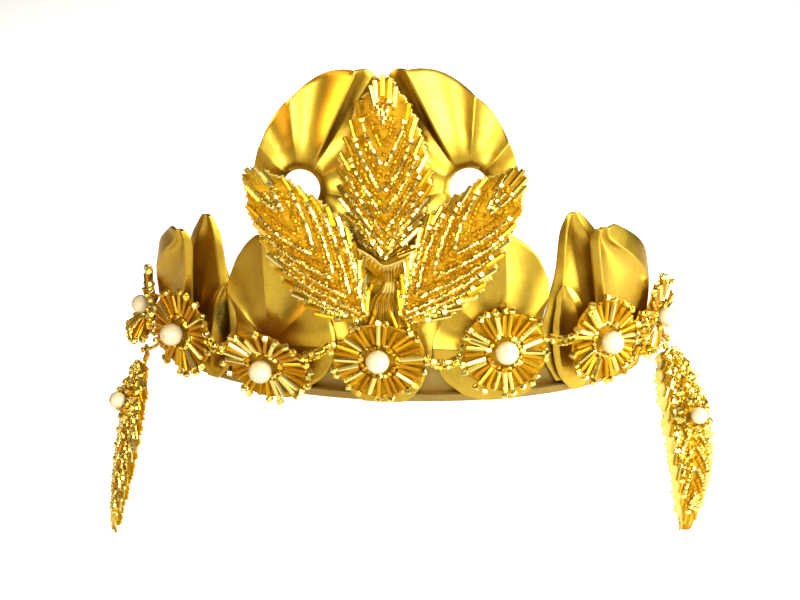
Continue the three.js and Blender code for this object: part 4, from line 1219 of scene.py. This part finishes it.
def facing(angle, out, height, tilt, turn):
    """The frame of a piece that faces outwards: X along the rim, Y up, Z away from the head."""
    outward = outward_at(angle)
    along = Vector((-outward.y, outward.x, 0))
    basis = Matrix((along, UP, outward)).transposed().to_4x4()
    basis.translation = band_point(angle, out, height)
    basis = basis @ Matrix.Rotation(math.radians(turn), 4, "Y")
    return basis @ Matrix.Rotation(-math.radians(tilt), 4, "X")


def sew_pearl(name, body, seat, radius, replaced):
    """A pearl, not quite round, with a dimple where its thread goes in."""
    shape = bmesh.new()
    bmesh.ops.create_uvsphere(shape, u_segments=32, v_segments=20, radius=radius)
    for vert in shape.verts:
        swell = 1 + PEARL["uneven"] * noise.noise(vert.co * 0.5)
        dimple = PEARL["dimple"] * smoothstep(vert.co.z / radius, PEARL["dimple_from"], 1)
        vert.co = vert.co * (swell - dimple)
    for face in shape.faces:
        face.smooth = True
    bmesh.ops.transform(shape, matrix=seat, verts=shape.verts)
    return make_piece(name, shape, body, pearl_skin, replaced)


def beaded_flower(name, body, lay, radius, bugles, seed_ring, chance, replaced):
    """The cloth and the beads of one flower, which faces +Z before lay(). Pale spokes lie on top."""
    waves = [chance.uniform(0, math.tau) for _ in range(3)]
    beads = []

    def on_cloth(u, v):
        turn = math.tau * u
        wave = 0.4 * math.sin(2 * turn + waves[0]) + 0.3 * math.sin(5 * turn + waves[1])
        reach = v * (radius - FLOWER_DISC["inside"] + wave * radius / FLOWER_RADIUS)
        ripple = v ** 4 * 0.3 * math.sin(7 * turn + waves[2])
        rise = 0.6 + ripple + 0.4 * v ** 3
        return lay(Vector((reach * math.cos(turn), reach * math.sin(turn), rise)))

    disc = patch(*FLOWER_DISC["grid"], on_cloth)
    cloth_piece = make_piece(f"{name}_cloth", disc, body, cloth, replaced)
    thicken(cloth_piece, FLOWER_DISC["thickness"])

    for i in range(bugles):
        turn = math.tau * (i + astray(chance, 0.15)) / bugles
        spoke = Vector((math.cos(turn), math.sin(turn), 0))
        across = Vector((-spoke.y, spoke.x, 0))
        pale = chance.random() < PALE_SPOKE["share"]
        rest = FLOWER_SPOKE["rest"] + (PALE_SPOKE["over"] if pale else 0)
        foot = seed_ring + FLOWER_SPOKE["from_ring"] + chance.uniform(-0.2, 0.5)
        start = spoke * foot + UP * (rest + 0.1)
        reach = radius - FLOWER_SPOKE["from_rim"] + chance.uniform(-0.5, 0.4)
        end = spoke * reach + across * astray(chance, 0.6)
        end += UP * (rest + chance.uniform(-0.1, 0.35))
        tone = chance.uniform(*PALE_SPOKE["tone"]) if pale else chance.choice(DULL_SPOKE["tones"])
        fat = chance.uniform(*(PALE_SPOKE if pale else DULL_SPOKE)["fat"])
        beads.append(laid(BUGLE, lay, start, end, tone, fat, chance.uniform(0, 0.8)))
        if i % 3 != 2 or chance.random() < 0.2:
            knob = end + spoke * FLOWER_SPOKE["knob"] + across * astray(chance, 0.3)
            beads.append(loose_bead(knob, lay, chance, KNOB, chance.uniform(0.75, 1), 1.0))
    around = max(FLOWER_SEEDS["fewest"], round(math.tau * seed_ring / FLOWER_SEEDS["pitch"]))
    for i in range(around):
        turn = math.tau * (i + astray(chance, 0.2)) / around
        middle = Vector((math.cos(turn), math.sin(turn), 0)) * (seed_ring + chance.uniform(-0.2, 0.7))
        middle.z = FLOWER_SEEDS["rest"] + chance.uniform(-0.2, 0.6)
        kind, thick = (KNOB, 0.85) if i % 3 == 0 else (SEED, 1.1)
        beads.append(loose_bead(middle, lay, chance, kind, chance.uniform(*FLOWER_SEEDS["tone"]), thick))
    bead_piece(f"{name}_beads", beads, body, replaced)
    return cloth_piece


flower_frames = [
    facing(flower["angle"], flower["out"], flower["height"], flower["tilt"], flower["turn"])
    for flower in FLOWERS
]
for number, (flower, seat) in enumerate(zip(FLOWERS, flower_frames)):
    def on_flower(point):
        below = max(0, -point.y * flower["tall"] - FOLD_BELOW)
        folded = point.z + flower["fold"] * below
        folded += flower["twist"] * min(below / 6, 1) * max(0, FLOWER_RADIUS * 0.6 - point.x)
        return seat @ Vector((point.x * flower["wide"], point.y * flower["tall"], folded))

    name = flower["name"]
    disc_piece = beaded_flower(
        f"flower_{name}_sewn", "tiara", on_flower, FLOWER_RADIUS, FLOWER["bugles"], FLOWER["seed_ring"],
        random.Random(40 + number), [f"flower_{name}"],
    )
    radius = END_PEARL if "end" in name else PEARL_RADIUS
    high = FLOWER["pearl_seat"] + GAP + radius
    pearl_seat = seat @ Matrix.Translation((0, flower["pearl_up"], high))
    sew_pearl(f"pearl_{name}_sewn", "tiara", pearl_seat, radius, [f"pearl_{name}"])

# ---- Bead strands ---------------------------------------------------------------------------
# Seed beads threaded from each flower to the next along the front of the plates, there and back,
# with more turns of the thread at the two ends.

SEED_RADIUS = 1.05
STRANDS = table(
    "rise sag plies",
    (0.15, 0.5, 4),
    (0.3, 0.6, 2),
    (0.45, 0.9, 2),
    (0, 1, 2),
    (0.3, 0.9, 2),
    (0.2, 0.6, 4),
)
PLY = {"sag": 0.5, "out": 1.1, "up": -0.9}
SEWN_AT_END = {"beads": 40, "angle": (62, 82), "height": (4, 21), "out": 3.6, "flare": 0.07}
STRAND_STEPS = 12


def strand_end(i, towards):
    """Where a strand is tied to flower i, on the side of the flower that it runs to."""
    heart = Vector((0, 0, FLOWER["cloth"] + SEED_RADIUS))
    other = flower_frames[i].inverted() @ (flower_frames[towards] @ heart)
    way = Vector((other.x, other.y, 0)).normalized()
    way.y += STRANDS[min(i, towards)]["rise"]
    return flower_frames[i] @ (heart + way.normalized() * (FLOWER_RADIUS + 0.7) * FLOWERS[i]["wide"])


strand_chance = random.Random(80)
for i, strand in enumerate(STRANDS):
    start, end = strand_end(i, i + 1), strand_end(i + 1, i)
    outward = outward_at((FLOWERS[i]["angle"] + FLOWERS[i + 1]["angle"]) / 2)
    flat_frame = Matrix((outward.cross(UP), UP, outward)).transposed().to_4x4()
    back = flat_frame.inverted()
    strand_beads = []

    def on_strand(point):
        return flat_frame @ point

    for ply in range(strand["plies"]):
        sag = 4 * (strand["sag"] + PLY["sag"] * ply)
        shares = [k / STRAND_STEPS for k in range(STRAND_STEPS + 1)]
        shift = outward * PLY["out"] * (ply % 2) + UP * PLY["up"] * ply
        hung = [start.lerp(end, share) - UP * sag * share * (1 - share) for share in shares]
        route = [back @ (point + shift) for point in hung]
        kind = SEED if ply % 2 else KNOB
        strand_beads += bead_row(route, on_strand, kind, 0.8 - 0.1 * ply, strand_chance)
    if strand["plies"] > 2:
        outer_side = math.copysign(1, FLOWERS[i]["angle"] + FLOWERS[i + 1]["angle"])
        for _ in range(SEWN_AT_END["beads"]):
            angle = outer_side * strand_chance.uniform(*SEWN_AT_END["angle"])
            height = strand_chance.uniform(*SEWN_AT_END["height"])
            spot = band_point(angle, SEWN_AT_END["out"] + SEWN_AT_END["flare"] * height, height)
            kind = strand_chance.choice((KNOB, SEED, BUGLE))
            tone = strand_chance.uniform(0.1, 0.9)
            strand_beads.append(loose_bead(back @ spot, on_strand, strand_chance, kind, tone, 0.95))
    bead_piece(f"strand_{i + 1}_beads", strand_beads, "tiara", [f"bead_strand_{i + 1}"])

# ---- Side drops -----------------------------------------------------------------------------
# A beaded leaf with a small flower on it, hung at each temple. A wire ring at its top swings on
# a hook that is fixed to the rim behind the end flower, and beads join the ring to the leaf.

DROPS = [
    {"side": "left", "angle": 85, "out": 8.2, "hangs": -2.4, "faces": 54, "lean_top": 16, "lean_tip": 11,
     "twist": -6, "length": 61.5, "flower_place": 0.23, "thread_from": -3.5,
     "leaf": {"border": 0.2, "poke": -0.3, "pale_from": 1}},
    {"side": "right", "angle": 95, "out": 9.4, "hangs": 4.5, "faces": 38, "lean_top": 43, "lean_tip": -12,
     "twist": 0, "length": 63, "flower_place": 0.36, "thread_from": -2.6,
     "leaf": {"border": 1.1, "poke": -1.6, "pale_from": 0.7}},
]
DROP = {
    "stem": 5, "thickness": 1.5, "dome": 1.3, "flower_radius": 6.2, "flower_bugles": 14, "seed_ring": 4,
    "pearl_radius": 2.9,
}
HOOK = {"wire": 0.6, "tip": 2.2, "root": 0.8}
# The blob of metal at the hook's end, which keeps the ring on it.
HOOK_BLOB = table(
    "along swell",
    (0, 0.9),
    (0.15, 1.5),
    (0.5, 1.75),
    (0.9, 1.4),
    (1.05, 0.5),
)
RING = {"hole": 0.95, "wire": 0.42, "steps": 28}
STEM_FOOT = Vector((0, 1.6, 1.2))
STEM_STEPS = 11
DROP_HALF_WIDTH = column("half", 4.2, 7.6, 8.7, 9, 8.8, 7.3, 4.9, 1.6)
DROP_FORM = {
    "thickness": DROP["thickness"], "dome": DROP["dome"], "bugles": 13, "first": 0.05,
    "last": 0.95, "bugle_thick": 0.8, "bugle_long": 0.7, "seed_thick": 1.2, "rows": 21,
    "amber": (0.05, 0.5), "filling": 40, "fan": FAN["side"], "veins": VEINS["centre"],
}

# Red thread is wound round the stem, between the ring and the top of the leaf.
STEM_THREAD = {"thick": 0.26, "turns": 4, "steps": 65, "reach": 0.72, "long": 1.3}
red_thread, add = new_finish("red_thread", Roughness=0.6, Sheen_Weight=0.4)
blend_colours(add, speckle(add, 900), (0.36, 0.06, 0.01), (0.62, 0.16, 0.02), "Base Color")


def tube(points, radii, sides=12, closed=False):
    """A round wire along points, its ends closed unless it runs round to its start."""
    last = len(points) - 1

    def place(u, v):
        i = round(v * (last + 1 if closed else last))
        here = points[i % (last + 1)]
        before = points[(i - 1) % (last + 1)] if closed or i > 0 else here
        after = points[(i + 1) % (last + 1)] if closed or i < last else here
        along = (after - before).normalized()
        side = (UP if abs(along.z) < 0.9 else Vector((1, 0, 0))).cross(along).normalized()
        turn = math.tau * u
        radius = radii[i % (last + 1)]
        return here + radius * (side * math.cos(turn) + along.cross(side) * math.sin(turn))

    wire = patch(sides, last + 1 if closed else last, place)
    if not closed:
        bmesh.ops.holes_fill(wire, edges=wire.edges)
    bmesh.ops.recalc_face_normals(wire, faces=wire.faces)
    return wire


def along_drop(drop, distance):
    """Where a drop runs, some way down it: its lean and its twist ease from its top to its tip."""
    whole = DROP["stem"] + drop["length"]
    steps = 12

    def lean_at(share):
        past_stem = smoothstep(share * whole, 1, DROP["stem"] + 1)
        return math.radians(lerp(drop["lean_top"], drop["lean_tip"], min(share, 1)) * past_stem)

    reach = distance / whole
    place = Vector((0, 0, 0))
    for i in range(steps):
        lean = lean_at(reach * (i + 0.5) / steps)
        place += distance / steps * Vector((0, -math.cos(lean), math.sin(lean)))
    twisted = Matrix.Rotation(math.radians(drop["twist"] * reach), 4, "Y")
    return Matrix.Translation(place) @ (Matrix.Rotation(-lean_at(reach), 4, "X") @ twisted)


for number, drop in enumerate(DROPS):
    side, sign = drop["side"], SIDES[drop["side"]]
    body, angle = f"drop_{side}", sign * drop["angle"]
    faces = math.radians(drop["faces"])
    ahead = Vector((sign * math.sin(faces), -math.cos(faces), 0))
    pin = band_point(angle, drop["out"], drop["hangs"])
    drop_frame = Matrix((UP.cross(ahead), UP, ahead)).transposed().to_4x4()
    drop_frame.translation = pin

    root = band_point(angle, GAP, RIM_HEIGHT / 2)
    rooted = root + outward_at(angle) * HOOK["root"]
    bend = pin - ahead * HOOK["tip"]
    tip = pin + ahead * HOOK["tip"] / 2
    wire_path = [root, rooted] + curve_through(rooted.lerp(bend, 0.8), bend, bend.lerp(tip, 0.4), 6)
    wire_radii = [HOOK["wire"]] * len(wire_path) + [HOOK["wire"] * row["swell"] for row in HOOK_BLOB]
    wire_path += [tip + ahead * row["along"] for row in HOOK_BLOB]
    hook_shape = tube(wire_path, wire_radii)
    make_piece(f"hook_wire_{side}", hook_shape, "tiara", gilt, [f"drop_hook_{side}"])

    ring_radius = RING["hole"] + RING["wire"]
    circle = [
        drop_frame @ Vector((ring_radius * math.cos(turn), ring_radius * math.sin(turn), 0))
        for turn in (math.tau * k / RING["steps"] for k in range(RING["steps"]))
    ]
    ring_shape = tube(circle, [RING["wire"]] * RING["steps"], 10, True)
    make_piece(f"ring_wire_{side}", ring_shape, body, gilt, [f"drop_loop_{side}"])

    def on_drop(point):
        return drop_frame @ (along_drop(drop, DROP["stem"] + point.y) @ Vector((-point.x, 0, point.z)))

    stem_top = -DROP["stem"] + ring_radius + 0.6
    stem = [
        Vector((0, lerp(stem_top, STEM_FOOT.y, share), lerp(0, STEM_FOOT.z, share)))
        for share in (k / STEM_STEPS for k in range(STEM_STEPS + 1))
    ]
    stem_beads = bead_row(stem, on_drop, KNOB, 0.5, random.Random(80 + number), 0.8)
    bead_piece(f"stem_beads_{side}", stem_beads, body, [f"drop_loop_{side}"])
    coil = []
    for k in range(STEM_THREAD["steps"]):
        share = k / (STEM_THREAD["steps"] - 1)
        down = drop["thread_from"] + STEM_THREAD["long"] * share
        rise = lerp(0, STEM_FOOT.z, (down - stem_top) / (STEM_FOOT.y - stem_top))
        turn = math.tau * STEM_THREAD["turns"] * share
        x, z = STEM_THREAD["reach"] * math.cos(turn), rise + STEM_THREAD["reach"] * math.sin(turn)
        coil.append(on_drop(Vector((x, down, z))))
    thread = tube(coil, [STEM_THREAD["thick"]] * STEM_THREAD["steps"], 6)
    make_piece(f"stem_thread_{side}", thread, body, red_thread, [f"drop_loop_{side}"])

    def drop_half(share, _):
        return smoothly(DROP_HALF_WIDTH, "half", share)

    drop_chance = random.Random(90 + number)
    drop_cloth = beaded_leaf(
        f"drop_leaf_{side}_sewn", body, on_drop, drop_half, drop["length"], {**DROP_FORM, **drop["leaf"]},
        drop_chance, [f"drop_leaf_{side}"],
    )

    seat_place = along_drop(drop, DROP["stem"] + drop["length"] * drop["flower_place"])
    flower_seat = DROP["thickness"] + DROP["dome"] + GAP
    small_seat = drop_frame @ seat_place @ Matrix.Translation((0, 0, flower_seat))
    small_disc = beaded_flower(
        f"drop_flower_{side}_sewn", body, lambda point: small_seat @ point, DROP["flower_radius"],
        DROP["flower_bugles"], DROP["seed_ring"], drop_chance, [f"drop_flower_{side}"],
    )
    high = FLOWER["pearl_seat"] + GAP + DROP["pearl_radius"]
    pearl_seat = small_seat @ Matrix.Translation((0, 0, high))
    sew_pearl(f"drop_pearl_{side}_sewn", body, pearl_seat, DROP["pearl_radius"], [f"drop_pearl_{side}"])

# ---- Sizes ----------------------------------------------------------------------------------
# The boxes of the solids and of the dressed tiara. They are in metres, and each is a low corner and a high
# one.

low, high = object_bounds()
